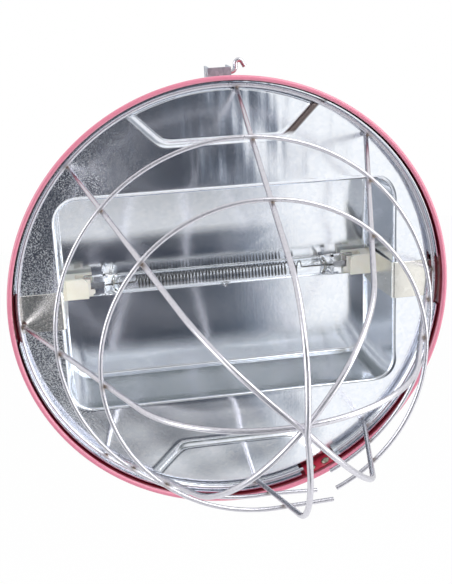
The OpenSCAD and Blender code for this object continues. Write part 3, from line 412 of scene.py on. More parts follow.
def rounded_run(points, radius, step=6.0):
    """A flat path through points, its corners rounded to radius, every step degrees."""
    points = [np.array(p, float) for p in points]
    path = [points[0]]
    for before, corner, after in zip(points, points[1:], points[2:]):
        u = (corner - before) / np.linalg.norm(corner - before)
        v = (after - corner) / np.linalg.norm(after - corner)
        turn = math.degrees(math.atan2(u[0] * v[1] - u[1] * v[0], float(u @ v)))
        side = 1 if turn > 0 else -1
        start = corner - u * radius * math.tan(math.radians(abs(turn)) / 2)
        centre = start + side * radius * np.array([-u[1], u[0]])
        first = math.degrees(math.atan2(*(start - centre)[::-1]))
        bend = arc(centre, radius, first, first + turn, max(2, round(abs(turn) / step)))
        path += [np.array(p) for p in bend]
    return path + [points[-1]]


# Geometry Nodes: wires, rivets and weld beads


def node_tree(name, inputs):
    tree = bpy.data.node_groups.new(name, "GeometryNodeTree")
    tree.interface.new_socket("Geometry", in_out="INPUT", socket_type="NodeSocketGeometry")
    for label, kind, value in inputs:
        socket = tree.interface.new_socket(label, in_out="INPUT", socket_type="NodeSocket" + kind)
        if value is not None:
            socket.default_value = value
    tree.interface.new_socket("Geometry", in_out="OUTPUT", socket_type="NodeSocketGeometry")
    return tree, tree.nodes.new("NodeGroupInput"), tree.nodes.new("NodeGroupOutput")


def chain(tree, start, *steps):
    """Adds nodes one after another along their first geometry sockets."""
    for node in steps:
        tree.links.new(start, node.inputs[0])
        start = node.outputs[0]
    return start


def wire_tree():
    """A round wire along an edge path, with its run along and around kept for patterns."""
    tree, given, out = node_tree(
        "wire_along_path",
        [("Diameter", "Float", 0.003), ("Sides", "Int", 16), ("Finish", "Material", None)],
    )
    new = tree.nodes.new
    radius = new("ShaderNodeMath")
    radius.operation = "MULTIPLY"
    radius.inputs[1].default_value = 0.5
    tree.links.new(given.outputs["Diameter"], radius.inputs[0])
    ring = new("GeometryNodeCurvePrimitiveCircle")
    tree.links.new(given.outputs["Sides"], ring.inputs["Resolution"])
    tree.links.new(radius.outputs[0], ring.inputs["Radius"])
    keep_turn = new("GeometryNodeStoreNamedAttribute")
    keep_turn.inputs["Name"].default_value = "turn"
    tree.links.new(new("GeometryNodeSplineParameter").outputs["Factor"], keep_turn.inputs["Value"])
    tree.links.new(ring.outputs["Curve"], keep_turn.inputs["Geometry"])
    keep_run = new("GeometryNodeStoreNamedAttribute")
    keep_run.inputs["Name"].default_value = "run"
    tree.links.new(new("GeometryNodeSplineParameter").outputs["Length"], keep_run.inputs["Value"])
    sweep = new("GeometryNodeCurveToMesh")
    sweep.inputs["Fill Caps"].default_value = True
    tree.links.new(keep_turn.outputs["Geometry"], sweep.inputs["Profile Curve"])
    paint = new("GeometryNodeSetMaterial")
    tree.links.new(given.outputs["Finish"], paint.inputs["Material"])
    end = chain(tree, given.outputs["Geometry"], new("GeometryNodeMeshToCurve"), keep_run, sweep,
                new("GeometryNodeRealizeInstances"), paint)
    tree.links.new(end, out.inputs["Geometry"])
    return tree


def scatter_tree():
    """One shape set on every point, its z axis along the point's own axis."""
    tree, given, out = node_tree(
        "shape_on_points",
        [("Shape", "Object", None), ("Size", "Float", 1.0), ("Finish", "Material", None)],
    )
    new = tree.nodes.new
    source = new("GeometryNodeObjectInfo")
    tree.links.new(given.outputs["Shape"], source.inputs["Object"])
    axis = new("GeometryNodeInputNamedAttribute")
    axis.data_type = "FLOAT_VECTOR"
    axis.inputs["Name"].default_value = "axis"
    align = new("FunctionNodeAlignRotationToVector")
    align.axis = "Z"
    tree.links.new(axis.outputs["Attribute"], align.inputs["Vector"])
    put = new("GeometryNodeInstanceOnPoints")
    tree.links.new(source.outputs["Geometry"], put.inputs["Instance"])
    tree.links.new(align.outputs["Rotation"], put.inputs["Rotation"])
    tree.links.new(given.outputs["Size"], put.inputs["Scale"])
    paint = new("GeometryNodeSetMaterial")
    tree.links.new(given.outputs["Finish"], paint.inputs["Material"])
    end = chain(tree, given.outputs["Geometry"], new("GeometryNodeMeshToPoints"), put,
                new("GeometryNodeRealizeInstances"), paint)
    tree.links.new(end, out.inputs["Geometry"])
    return tree


WIRE = wire_tree()
SCATTER = scatter_tree()


def grown(name, base, tree, **values):
    """Runs a tree on a base mesh and gives back the plain mesh that it ends in."""
    seed = bpy.data.objects.new(name + "_seed", base)
    bpy.context.scene.collection.objects.link(seed)
    modifier = seed.modifiers.new(tree.name, "NODES")
    modifier.node_group = tree
    for item in tree.interface.items_tree:
        if item.in_out == "INPUT" and item.name in values:
            modifier[item.identifier] = values[item.name]
    graph = bpy.context.evaluated_depsgraph_get()
    mesh = bpy.data.meshes.new_from_object(seed.evaluated_get(graph))
    seed.modifiers.remove(modifier)
    bpy.data.objects.remove(seed)
    mesh.name = name
    return mesh


def wire_mesh(name, paths, diameter, finish, sides=16):
    """Sweeps round wire along paths given in the lamp's millimetres."""
    points, edges = [], []
    for path in paths:
        edges += [(len(points) + i, len(points) + i + 1) for i in range(len(path) - 1)]
        points += [tuple(p) for p in path]
    base = bpy.data.meshes.new(name + "_path")
    base.from_pydata(points, edges, [])
    base.transform(STAND)
    return grown(name, base, WIRE, Diameter=diameter / 1000, Sides=sides, Finish=finish)


def set_on_points(name, shape, places, finish):
    """Sets a shape, drawn in millimetres, on places: pairs of point and axis."""
    model = bpy.data.objects.new(name + "_shape", shape)
    bpy.context.scene.collection.objects.link(model)
    base = bpy.data.meshes.new(name + "_points")
    base.from_pydata([tuple(p) for p, _ in places], [], [])
    base.transform(STAND)
    turn = STAND.to_3x3().normalized()
    axes = base.attributes.new("axis", "FLOAT_VECTOR", "POINT")
    axes.data.foreach_set("vector", [c for _, a in places for c in turn @ Vector(a)])
    mesh = grown(name, base, SCATTER, Shape=model, Size=0.001, Finish=finish)
    bpy.data.objects.remove(model)
    return mesh


def softened(node, finish, width, segments=2):
    """The CAD solid's own shape with its edges broken by width, merged from the node's triangles."""
    mesh = cad[node].data.copy()
    b = bmesh.new()
    b.from_mesh(mesh)
    bmesh.ops.remove_doubles(b, verts=b.verts, dist=2e-6)
    bmesh.ops.dissolve_limit(b, angle_limit=math.radians(1.5), verts=b.verts, edges=b.edges)
    b.to_mesh(mesh)
    b.free()
    mesh.polygons.foreach_set("use_smooth", [True] * len(mesh.polygons))
    holder = bpy.data.objects.new(node + "_soft", mesh)
    bpy.context.scene.collection.objects.link(holder)
    bevel = holder.modifiers.new("edge_break", "BEVEL")
    bevel.width = width / 1000
    bevel.segments = segments
    bevel.limit_method = "ANGLE"
    bevel.angle_limit = math.radians(35)
    bevel.use_clamp_overlap = True
    holder.modifiers.new("flat_faces", "WEIGHTED_NORMAL").weight = 100
    graph = bpy.context.evaluated_depsgraph_get()
    made = bpy.data.meshes.new_from_object(holder.evaluated_get(graph))
    bpy.data.objects.remove(holder)
    made.name = node + "_made"
    body = next(k for k, members in frame["record"]["behaviour"]["bodies"].items() if node in members)
    piece(made.name, made, finish, body, (node,), 40)


# Shade


DRAFT_ANGLE = math.radians(7.5)
DRAFT = math.tan(DRAFT_ANGLE)
BACK_Z = -78.5
SEAM_AZIMUTH = -66.5


def wall_out(z):
    """Radius of the drum's outside at a height."""
    return 138.9 - (4 - z) * DRAFT


def wall_in(z):
    """Radius of its inside: 0.8 mm of sheet, measured square to the drafted wall."""
    return wall_out(z) - 0.807


def shade_drum():
    """Spun drum with a wire-rolled rim, drafted wall and turned-in back edge."""
    back = BACK_Z
    outline = [(wall_out(z), z) for z in (back + 1.2, -60, -40, -20, -5, 1.5)]
    outline += arc((138.5, 4), 1.485, -75, 254, 26)
    outline += [(wall_in(z), z) for z in (1.5, -5, -20, -40, -60, back + 2)]
    outline += arc((wall_in(back) - 1.0, back + 1.8), 1.0, 0, -90, 4)
    outline += [(wall_out(back) - 6, back + 0.8), (wall_out(back) - 6, back)]
    outline += arc((wall_out(back) - 1.2, back + 1.2), 1.2, -90, -8, 5)
    drum = lathed("shade_drum_spun", outline, 288)
    # marks the drum's inner wall, which the enamel darkens to near black as painted shade
    inside = drum.attributes.new("inside", "FLOAT", "POINT")
    to_lamp = STAND.inverted()
    for v in drum.vertices:
        x, y, z = to_lamp @ v.co
        inside.data[v.index].value = float(math.hypot(x, y) < wall_out(z) - 0.5 and -75 < z < 2.2)
    piece(drum.name, drum, FINISH["red_paint"], "lamp_body", ("shade_drum",), 50)
    lap = [(wall_in(z) + d, z) for z, d in ((0, 0.1), (-67, 0.1), (-67, -0.7), (0, -0.7))]
    mesh = lathed("shade_seam_lap", lap, 18, SEAM_AZIMUTH - 4.5, 9)
    piece("shade_seam_lap", mesh, FINISH["red_paint"], "lamp_body", (), 50)


def rivet_shape(grip):
    """A snap-head rivet: the sheets lie between its two round heads."""
    head, wide = 1.4, 2.9
    b = bmesh.new()
    half = grip / 2 + 0.05
    dome = [(wide * math.sin(a), head * math.cos(a)) for a in np.radians([0, 22, 42, 60, 76, 90])]
    outline = [(r, half + h) for r, h in dome] + [(1.5, half), (1.5, -half)]
    outline += [(r, -half - h) for r, h in reversed(dome)]
    points = [b.verts.new((r, 0, z)) for r, z in outline]
    edges = [b.edges.new(pair) for pair in zip(points, points[1:])]
    bmesh.ops.spin(b, geom=points + edges, cent=(0, 0, 0), axis=(0, 0, 1), angle=math.tau, steps=20)
    bmesh.ops.remove_doubles(b, verts=b.verts, dist=0.001)
    bmesh.ops.recalc_face_normals(b, faces=b.faces)
    mesh = bpy.data.meshes.new("rivet_shape")
    b.to_mesh(mesh)
    b.free()
    return mesh


def rivets():
    """Three pairs of rivets along the drum's lap seam."""
    seam = []
    for z in (-4, -36, -62):
        for turn in (-2.2, 2.2):
            out = turned(SEAM_AZIMUTH + turn)
            axis = out * math.cos(DRAFT_ANGLE) - np.array([0, 0, math.sin(DRAFT_ANGLE)])
            seam.append((out * wall_in(z) + [0, 0, z], axis))
    mesh = set_on_points("seam_rivets_set", rivet_shape(1.6), seam, FINISH["rivet"])
    piece("seam_rivets_set", mesh, FINISH["rivet"], "lamp_body", ("seam_rivets",), 50)


# Reflector


def rect_loop(u, hx, hy, r):
    """Points at u (0 to 8) round a rounded rectangle: even steps are corners, odd ones sides."""
    part = np.floor(u).astype(int) % 8
    t = u - np.floor(u)
    corners = np.array([(hx - r, hy - r), (r - hx, hy - r), (r - hx, r - hy), (hx - r, r - hy)])
    k = part // 2
    a = np.radians(90 * (k + t))
    bend = corners[k] + r * np.stack([np.cos(a), np.sin(a)], 1)
    b = np.radians(90 * (k + 1))
    push = r * np.stack([np.cos(b), np.sin(b)], 1)
    side = corners[k] + push + (corners[(k + 1) % 4] - corners[k]) * t[:, None]
    return np.where((part % 2 == 0)[:, None], bend, side)


# the stiffening steps: their rise, the slope of their flanks, where they begin above and below
# the lamp's middle, half their narrow width and how far out they reach
STEP_RISE = 3.0
FLANK = math.radians(40)
STEP_Y, STEP_HALF, STEP_END_R = 100.0, 38.0, 132.0


def flank_height(d):
    """Across a step's flank: a wide rounded foot, a straight and a close crease at the top."""
    foot, crease = 6.2, 1.9
    c = np.clip(d + 3.4, 0, None)
    end = foot * math.sin(FLANK)
    low = foot * (1 - math.cos(FLANK))
    top = crease * (1 - math.cos(FLANK))
    run = (STEP_RISE - low - top) / math.tan(FLANK)
    last = end + run + crease * math.sin(FLANK)
    rise = foot - np.sqrt(np.clip(foot**2 - np.clip(c, 0, end) ** 2, 0, None))
    rise = np.where(c > end, low + (c - end) * math.tan(FLANK), rise)
    over = np.clip(last - c, 0, crease)
    rounded = STEP_RISE - crease + np.sqrt(np.clip(crease**2 - over**2, 0, None))
    return np.where(c > end + run, np.where(c > last, STEP_RISE, rounded), rise)


def pressed_step(x, y):
    """Height of the two stiffening steps, pressed forward above and below the tray."""
    r = np.hypot(x, y)
    up = np.abs(y) - STEP_Y
    slant = (STEP_HALF + up - np.abs(x)) * 0.707
    soft = 1.2
    d = -soft * np.log(np.exp(-np.clip(up, -40, 40) / soft) + np.exp(-np.clip(slant, -40, 40) / soft)
                       + np.exp(-np.clip((STEP_END_R - r) * 2.2, -40, 40) / soft))
    return flank_height(d)


def sheet_wave(x, y):
    """The slight unevenness that pressing leaves in a thin sheet."""
    return (
        0.10 * np.sin(x * 0.061 + 1.3) * np.sin(y * 0.083 + 0.4)
        + 0.06 * np.sin(x * 0.17 + y * 0.11 + 2.0)
        + 0.04 * np.sin(x * 0.05 - y * 0.21 + 0.7)
    )


# the sheet and its hem: thickness, inner radius of the hem and of its bend, and heights
SHEET = 0.7
HEM_IN = 135.5
HEM_BEND = 2.5
FLANGE_Z = -9.0
FLOOR_Z = -63.9
# half width and half height of the tray at its mouth and at the foot of its walls
MOUTH_HX, MOUTH_HY = 108.2, 68.5
WALL_HX, WALL_HY = 105.44, 67.75
CORNER_R = 14
MOUTH_BEND = 2.0
# the mouth's left end lies this much further in
LEFT_IN = 1.8
# the floor is flat up to BOW_Y, bends over BOW_RUN and then climbs at FLOOR_SLOPE
FLOOR_SLOPE, BOW_Y, BOW_RUN = 0.135, 20, 14
# azimuth and half angle of the hem's gaps: two for the strips and one for the guard's ends
NOTCHES = ((0.0, 6.8), (180.0, 6.8), (SEAM_AZIMUTH, 5.55))


def floor_bow(y):
    """How far forward the tray's floor lies, which curves towards its upper wall."""
    t = np.clip((y - BOW_Y) / BOW_RUN, 0, 1)
    bend = FLOOR_SLOPE * BOW_RUN * (t**3 - t**4 / 2)
    return bend + FLOOR_SLOPE * np.clip(y - BOW_Y - BOW_RUN, 0, None)


def mouth_line(flat):
    """Moves the mouth's left end in a little, as the pressing sits slightly to the right."""
    flat = flat.copy()
    t = np.clip((-flat[:, 0] - 60) / 45, 0, 1)
    flat[:, 0] += LEFT_IN * t * t * (3 - 2 * t)
    return flat


def reflector():
    """One pressed sheet: bowed tray, tight mouth, flange with its steps, and the cut hem."""
    marks = [(c + s * w) % 360 for c, w in NOTCHES for s in (-1, 1)]
    # spokes lie closer where they cross the steps, and one lies on each end of a notch
    grid, a = [], 0.0
    while a < 360:
        grid.append(a)
        a += 0.45 if 55 <= a % 180 < 125 else 1.0
    grid = [a for a in grid if min(abs((a - m + 180) % 360 - 180) for m in marks) > 0.2]
    angles = np.array(sorted(grid + marks))
    n = len(angles)
    dense = np.linspace(0, 8, 8001)[:-1]
    shape = rect_loop(dense, 108, MOUTH_HY, CORNER_R)
    azimuth = np.degrees(np.unwrap(np.arctan2(shape[:, 1], shape[:, 0])))
    order = np.concatenate([azimuth - 360, azimuth, azimuth + 360])
    table = np.concatenate([dense - 8, dense, dense + 8])
    u = np.interp(angles, order, table) % 8
    spoke = np.stack([np.cos(np.radians(angles)), np.sin(np.radians(angles))], 1)
    wall = rect_loop(u, WALL_HX, WALL_HY, CORNER_R)
    out = (wall - rect_loop(u, WALL_HX - CORNER_R, WALL_HY - CORNER_R, 0)) / CORNER_R
    # the floor's corner is 2.6 mm, and tighter at the left end
    curve = 2.6 - 1.8 * np.clip(-out[:, :1], 0, 1) ** 2
    tilt = FLOOR_SLOPE * np.clip(out[:, 1], 0, 1) ** 2

    def skin(thick, fine):
        """Loops from the tray's middle to the hem; fine loops carry the pressed steps."""
        loops = []
        first = wall + (np.sin(tilt)[:, None] - 1) * curve * out
        level = FLOOR_Z + floor_bow(first[:, 1])
        for part in (0.2, 0.38, 0.46, 0.53, 0.60, 0.67, 0.74, 0.82, 0.91) if fine else (0.5, 0.75):
            loops.append((first * part, FLOOR_Z + floor_bow(first[:, 1] * part) - thick))
        for t in np.linspace(0, 1, 15 if fine else 6):
            a = tilt + (math.pi / 2 - tilt) * t
            loops.append((wall + ((np.sin(a)[:, None] - 1) * curve + np.sin(a)[:, None] * thick) * out,
                          level + curve[:, 0] * (np.cos(tilt) - np.cos(a)) - thick * np.cos(a)))
        low, low_z = loops[-1]
        turn_out = MOUTH_BEND + 1.5 * np.clip(out[:, 1], 0, 1) ** 2
        mouth = []
        for a in np.radians(np.linspace(0, 90, 9 if fine else 5)):
            push = turn_out - (turn_out - thick) * math.cos(a)
            edge = rect_loop(u, MOUTH_HX, MOUTH_HY, CORNER_R) + push[:, None] * out
            mouth.append((mouth_line(edge), FLANGE_Z - turn_out + (turn_out - thick) * math.sin(a)))
        for part in np.linspace(0, 1, 7 if fine else 3)[1:-1]:
            loops.append((low + (mouth[0][0] - low) * part, low_z + (mouth[0][1] - low_z) * part))
        loops += mouth
        rim = spoke * (HEM_IN - HEM_BEND)
        edge = loops[-1][0]
        parts = np.linspace(0, 1, 24)[1:]
        if fine:
            parts = [*np.linspace(0, 0.34, 9)[1:], *np.linspace(0.35, 1, 74)]
        for part in parts:
            flat = edge + (rim - edge) * part
            lift = pressed_step(flat[:, 0], flat[:, 1]) * (part < 1)
            fade = math.sin(math.pi * part) ** 0.4 if 0 < part < 1 else 0
            loops.append((flat, FLANGE_Z - thick + lift + fade * sheet_wave(flat[:, 0], flat[:, 1])))
        turn = len(loops) - 1
        for a in np.radians(np.linspace(0, 90, 8 if fine else 5))[1:]:
            loops.append((spoke * (HEM_IN - HEM_BEND + (HEM_BEND + thick) * math.sin(a)),
                          np.full(n, FLANGE_Z + HEM_BEND - (HEM_BEND + thick) * math.cos(a))))
        for z in (-4.5, -2, 0):
            loops.append((spoke * (HEM_IN + thick), np.full(n, float(z))))
        return loops, turn

    front, front_turn = skin(0.0, True)
    back, back_turn = skin(SHEET, False)
    open_hem = np.zeros(n, bool)
    middle = (angles + np.roll(angles, -1) + np.where(np.roll(angles, -1) < angles, 360, 0)) / 2
    for centre, half in NOTCHES:
        open_hem |= np.abs((middle - centre + 180) % 360 - 180) < half
    points, faces, starts = [], [], []
    for loops in (front, back):
        starts.append(len(points))
        for flat, z in loops:
            points += list(np.column_stack([flat, z]))
        points.append((0, 0, float(np.min(loops[0][1]))))
    skins = ((front, front_turn, starts[0], False), (back, back_turn, starts[1], True))
    for loops, turn, start, flip in skins:
        hub = start + len(loops) * n
        for i in range(n):
            j = (i + 1) % n
            cell = (start + i, start + j, hub)
            faces.append(cell if not flip else cell[::-1])
            for k in range(len(loops) - 1):
                if k >= turn and open_hem[i]:
                    continue
                a, b = start + k * n, start + (k + 1) * n
                cell = (a + i, b + i, b + j, a + j)
                faces.append(cell if not flip else cell[::-1])
    top_f, top_b = starts[0] + (len(front) - 1) * n, starts[1] + (len(back) - 1) * n
    for i in range(n):
        j = (i + 1) % n
        f, g = top_f, top_b
        if open_hem[i]:
            f, g = starts[0] + front_turn * n, starts[1] + back_turn * n
        faces.append((f + i, g + i, g + j, f + j))
    mesh = mesh_of("reflector_pressed", points, faces)
    b = bmesh.new()
    b.from_mesh(mesh)
    bmesh.ops.remove_doubles(b, verts=b.verts, dist=1e-7)
    rims = [e for e in b.edges if e.is_boundary]
    bmesh.ops.holes_fill(b, edges=rims, sides=60)
    bmesh.ops.recalc_face_normals(b, faces=b.faces)
    b.to_mesh(mesh)
    b.free()
    piece("reflector_pressed", mesh, FINISH["reflector_sheet"], "lamp_body", ("reflector",),
          45)


def strip_bracket(name, side, wall_top):
    """A bent strip: down beside the holder, over the mouth, along the flange and back by the drum."""
    thick, half = 0.8, 12.2
    high = FLANGE_Z + 0.05 + thick / 2
    top = wall_top - 0.15 - thick / 2
    tab = 133.54
    knee = (tab + 1.0 + thick / 2, high)
    flat = np.array(rounded_run([(104.39, -60), (104.39, -44.5), (top, -11), (top, high), knee,
                                 (knee[0] - 14.2 * DRAFT, high - 14.2)], 1.4, 12))
    way = np.gradient(flat, axis=0)
    way /= np.linalg.norm(way, axis=1)[:, None]
    over = np.stack([-way[:, 1], way[:, 0]], 1) * thick / 2
    points, faces = [], []
    section = [(-half + 0.18, 1), (half - 0.18, 1), (half, 0.6), (half, -0.6), (half - 0.18, -1),
               (-half + 0.18, -1), (-half, -0.6), (-half, 0.6)]
    for p, o in zip(flat, over):
        points += [(side * (p[0] + o[0] * s), y, p[1] + o[1] * s) for y, s in section]
    m = len(section)
    for k in range(len(flat) - 1):
        a, b = k * m, (k + 1) * m
        faces += [(a + i, a + (i + 1) % m, b + (i + 1) % m, b + i) for i in range(m)]
    faces += [tuple(range(m))[::-1], tuple(range((len(flat) - 1) * m, len(flat) * m))]
    mesh = set_right(mesh_of(name + "_bent", points, faces))
    piece(name + "_bent", mesh, FINISH["galvanised_strip"], "lamp_body", (name,), 40)


# Guard


LEAN_ANGLE = 22.2
LEAN = math.tan(math.radians(LEAN_ANGLE))
# each hoop's two azimuths, and how many wires lie over its crown
LAST_LEG = -85.5
LEG_PAIRS = {"a": (136.3, -48.5, 1), "b": (86.3, LAST_LEG, 0), "c": (47.6, -131.5, 2), "d": (3.2, -177.1, 3)}
BASE_Z, MIDDLE_Z, FRONT_Z = -3, 52.5, 109.0
CROWN_Z, CROWN_STEP = 198.7, 3.05
HOOP_D, RING_D = 3.0, 2.5


def leg_r(z):
    """Distance of the hoops' leaning legs from the axis."""
    return 130.6 - (z - BASE_Z) * LEAN


def hoop_path(name):
    first, second, level = LEG_PAIRS[name]
    h = CROWN_Z - level * CROWN_STEP
    foot = -5.13
    knee = leg_r(h)
    bend = (knee - 0.9) / math.tan(math.radians(90 - LEAN_ANGLE) / 2)
    flat = rounded_run([(leg_r(foot), foot), (knee, h), (0.0, h)], bend, 2.5)
    straight = [flat[0] + (flat[1] - flat[0]) * t for t in np.linspace(0, 1, 24)[:-1]]
    flat = straight + flat[1:-1]
    one = [turned(first) * p[0] + [0, 0, p[1]] for p in flat]
    two = [turned(second) * p[0] + [0, 0, p[1]] for p in flat]
    return one + two[::-1]


def ring_path(radius, z, ends, flare=None):
    """A split ring; with a flare its left end runs straight on past the last hoop."""
    stop = 360 + (ends[1] if flare is None else LAST_LEG)
    count = int(stop - ends[0])
    path = [turned(a) * radius + [0, 0, z] for a in np.linspace(ends[0], stop, count)]
    if flare is not None:
        swing = math.radians(ends[1] - LAST_LEG)
        lean = math.radians(flare)
        run = radius * math.sin(swing) / math.cos(swing + lean)
        way = turned(LAST_LEG + 90 - flare)
        path += [path[-1] + way * run * t for t in (0.25, 0.5, 0.75, 1)]
    return path


def crossings():
    """Where each hoop's legs are welded to the rings, with the direction outwards."""
    spots = []
    for first, second, _ in LEG_PAIRS.values():
        for a in (first, second):
            for z in (MIDDLE_Z, FRONT_Z):
                spots.append((turned(a) * (leg_r(z) + 1.5) + [0, 0, z], turned(a) + [0, 0, LEAN]))
            spots.append((turned(a) * 132.3 + [0, 0, BASE_Z], turned(a)))
    return spots


def heat_marks(mesh, spots):
    """Keeps how close each point lies to a weld, for the scorched plating there."""
    reach = 2.4
    co = np.empty(len(mesh.vertices) * 3)
    mesh.vertices.foreach_get("co", co)
    co = co.reshape(-1, 3)
    heat = np.zeros(len(co))
    for spot, _ in spots:
        d = np.linalg.norm(co - np.array(STAND @ Vector(spot)), axis=1) * 1000
        heat = np.maximum(heat, np.exp(-((d / reach) ** 2)))
    mesh.attributes.new("weld_heat", "FLOAT", "POINT").data.foreach_set("value", heat.astype(np.float32))


def bead_shape():
    """A flattened, slightly uneven blob of weld metal."""
    b = bmesh.new()
    bmesh.ops.create_icosphere(b, subdivisions=2, radius=0.85)
    for v in b.verts:
        v.co = Vector((v.co.x * 1.25, v.co.y * 1.25, v.co.z * 0.9))
        v.co *= 1 + 0.07 * math.sin(v.co.x * 5 + v.co.y * 7 + v.co.z * 3)
    mesh = bpy.data.meshes.new("bead_shape")
    b.to_mesh(mesh)
    b.free()
    return mesh


def guard():
    """Three split rings and four hoops of plated wire, welded where they cross."""
    spots = crossings()
    outside = 3.02
    wires = {
        "guard_base_ring": (ring_path(133.8, BASE_Z, (-59.6, -71)), 2.8),
        "guard_middle_ring": (ring_path(leg_r(MIDDLE_Z) + outside, MIDDLE_Z, (-64.4, -70.7), 7.5), RING_D),
        "guard_front_ring": (ring_path(leg_r(FRONT_Z) + outside, FRONT_Z, (-65.3, -68), 2.4), RING_D),
    }
    for name in LEG_PAIRS:
        wires[f"guard_hoop_{name}"] = (hoop_path(name), HOOP_D)
    for node, (path, size) in wires.items():
        mesh = wire_mesh(f"{node}_wire", [path], size, FINISH["guard_wire"])
        piece(mesh.name, mesh, FINISH["guard_wire"], "guard", (node,), 50)
        heat_marks(mesh, spots)
    mesh = set_on_points("guard_weld_beads", bead_shape(), spots, WELD)
    piece("guard_weld_beads", mesh, WELD, "guard", (), 60)


# Lamp


# where the quartz lamp's own axis lies
AXIS_Y, AXIS_Z = 2, -51


def tube_loft(name, stations, around, flip=False):
    """Joins cross-sections along x: each is x, half height, half thickness and squareness."""
    turn = np.linspace(0, math.tau, around, endpoint=False)
    points = []
    for x, high, thick, square in stations:
        c, s = np.cos(turn), np.sin(turn)
        body = high - thick
        flat_y = np.sign(s) * np.minimum(np.abs(s) * 1.6, 1) * body + s * thick
        y = (1 - square) * s * high + square * flat_y
        z = c * thick
        points += [(x, AXIS_Y + b, AXIS_Z + a) for a, b in zip(z, y)]
    faces = []
    for k in range(len(stations) - 1):
        a, b = k * around, (k + 1) * around
        faces += [(a + i, a + (i + 1) % around, b + (i + 1) % around, b + i) for i in range(around)]
    faces += [tuple(range(around))[::-1], tuple(range((len(stations) - 1) * around, len(stations) * around))]
    mesh = set_right(mesh_of(name, points, faces))
    if flip:
        mesh.flip_normals()
    return mesh


def joined(name, *meshes):
    """One mesh of several, which are used up."""
    b = bmesh.new()
    for mesh in meshes:
        b.from_mesh(mesh)
        bpy.data.meshes.remove(mesh)
    mesh = bpy.data.meshes.new(name)
    b.to_mesh(mesh)
    b.free()
    return mesh


def smooth_step(t):
    return t * t * (3 - 2 * t)


def quartz_tube():
    """A hollow tube with flat pinched ends and the nub where it was sealed."""
    half = []
    for x in (91.94, 91.6, 90, 84, 79):
        half.append((x, 7.5 if x < 91.8 else 7.1, 1.8 if x < 91.8 else 1.4, 1.0))
    for t in np.linspace(0, 1, 12)[1:-1]:
        s = smooth_step(t)
        half.append((79 - 9.5 * t, 7.5 - 0.5 * s, 1.8 + 5.2 * math.sqrt(max(0, 1 - (1 - t) ** 2)), 1 - s))
    for x in (69.5, 66, 50, 25):
        half.append((x, 7.0, 7.0, 0.0))
    outer = half + [(-x, a, b, c) for x, a, b, c in reversed(half)]
    bore = [(68 + 5.9 * math.sin(a), max(0.05, 5.9 * math.cos(a)), max(0.05, 5.9 * math.cos(a)), 0.0)
            for a in np.radians([90, 75, 60, 45, 30, 15, 0])]
    bore += [(x, 5.9, 5.9, 0.0) for x in (50, 25)]
    inner = bore + [(-x, a, b, c) for x, a, b, c in reversed(bore)]
    shell = tube_loft("tube_skin", outer, 48)
    hollow = tube_loft("tube_bore", inner, 40, flip=True)
    nub = []
    lean = math.radians(90 - 35)
    for h, r in ((6.2, 2.6), (6.9, 2.4), (7.6, 1.9), (8.4, 1.45), (9.0, 1.1), (9.25, 0.5)):
        nub.append([(2.4 + r * math.cos(a), r * math.sin(a), h) for a in np.linspace(0, math.tau, 21)[:-1]])
    rows = [p for ring in nub for p in ring]
    turn = Matrix.Translation((0, AXIS_Y, AXIS_Z)) @ Matrix.Rotation(lean, 4, "X")
    faces = [(k * 20 + i, k * 20 + (i + 1) % 20, (k + 1) * 20 + (i + 1) % 20, (k + 1) * 20 + i)
             for k in range(5) for i in range(20)]
    faces += [tuple(range(19, -1, -1)), tuple(range(100, 120))]
    tip = set_right(mesh_of("tube_nub", [turn @ Vector(p) for p in rows], faces))
    mesh = joined("quartz_tube_drawn", shell, hollow, tip)
    piece("quartz_tube_drawn", mesh, FINISH["quartz"], "lamp_tube", ("quartz_tube",), 60)


def filament():
    """Close turns, then two stretched ones, with short legs run in to the lead wires."""
    turns, pitch, wide, r, first = 45, 2.28, 4.6, 4.25, -56.5
    path = [(-57.7, 0, 0), (-57.4, r * 0.25, -0.2), (-57.1, r * 0.7, -0.3)]
    for t in np.linspace(0, turns + 2, (turns + 2) * 20 + 1):
        x = first + min(t, turns) * pitch + max(0, t - turns) * wide
        path.append((x, r * math.cos(math.tau * t), r * math.sin(math.tau * t)))
    end = first + turns * pitch + 2 * wide
    path += [(end + 0.6, r * 0.7, 0.3), (end + 0.9, r * 0.25, 0.2), (end + 1.2, 0, 0)]
    path = [(x, AXIS_Y + a, AXIS_Z + b) for x, a, b in path]
    mesh = wire_mesh("filament_coil_wound", [path], 0.8, FINISH["filament"], 8)
    piece("filament_coil_wound", mesh, FINISH["filament"], "lamp_tube", ("filament_coil",), 60)


def contact_spring():
    """The spring behind the left contact, which shortens as the lamp is pushed against it."""
    path = []
    start, stop, turns, r = 99.95, 103.6, 5, 1.8
    for t in np.linspace(0, 1, turns * 20 + 1):
        a = math.tau * turns * t
        path.append((-(start + (stop - start) * t), AXIS_Y + r * math.cos(a), AXIS_Z + r * math.sin(a)))
    mesh = wire_mesh("contact_spring_wound", [path], 0.5, FINISH["spring_steel"], 8)
    spring = piece("contact_spring_wound", mesh, FINISH["spring_steel"], "lamp_body", ("contact_spring",),
                   60)
    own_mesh(spring)


# Hook


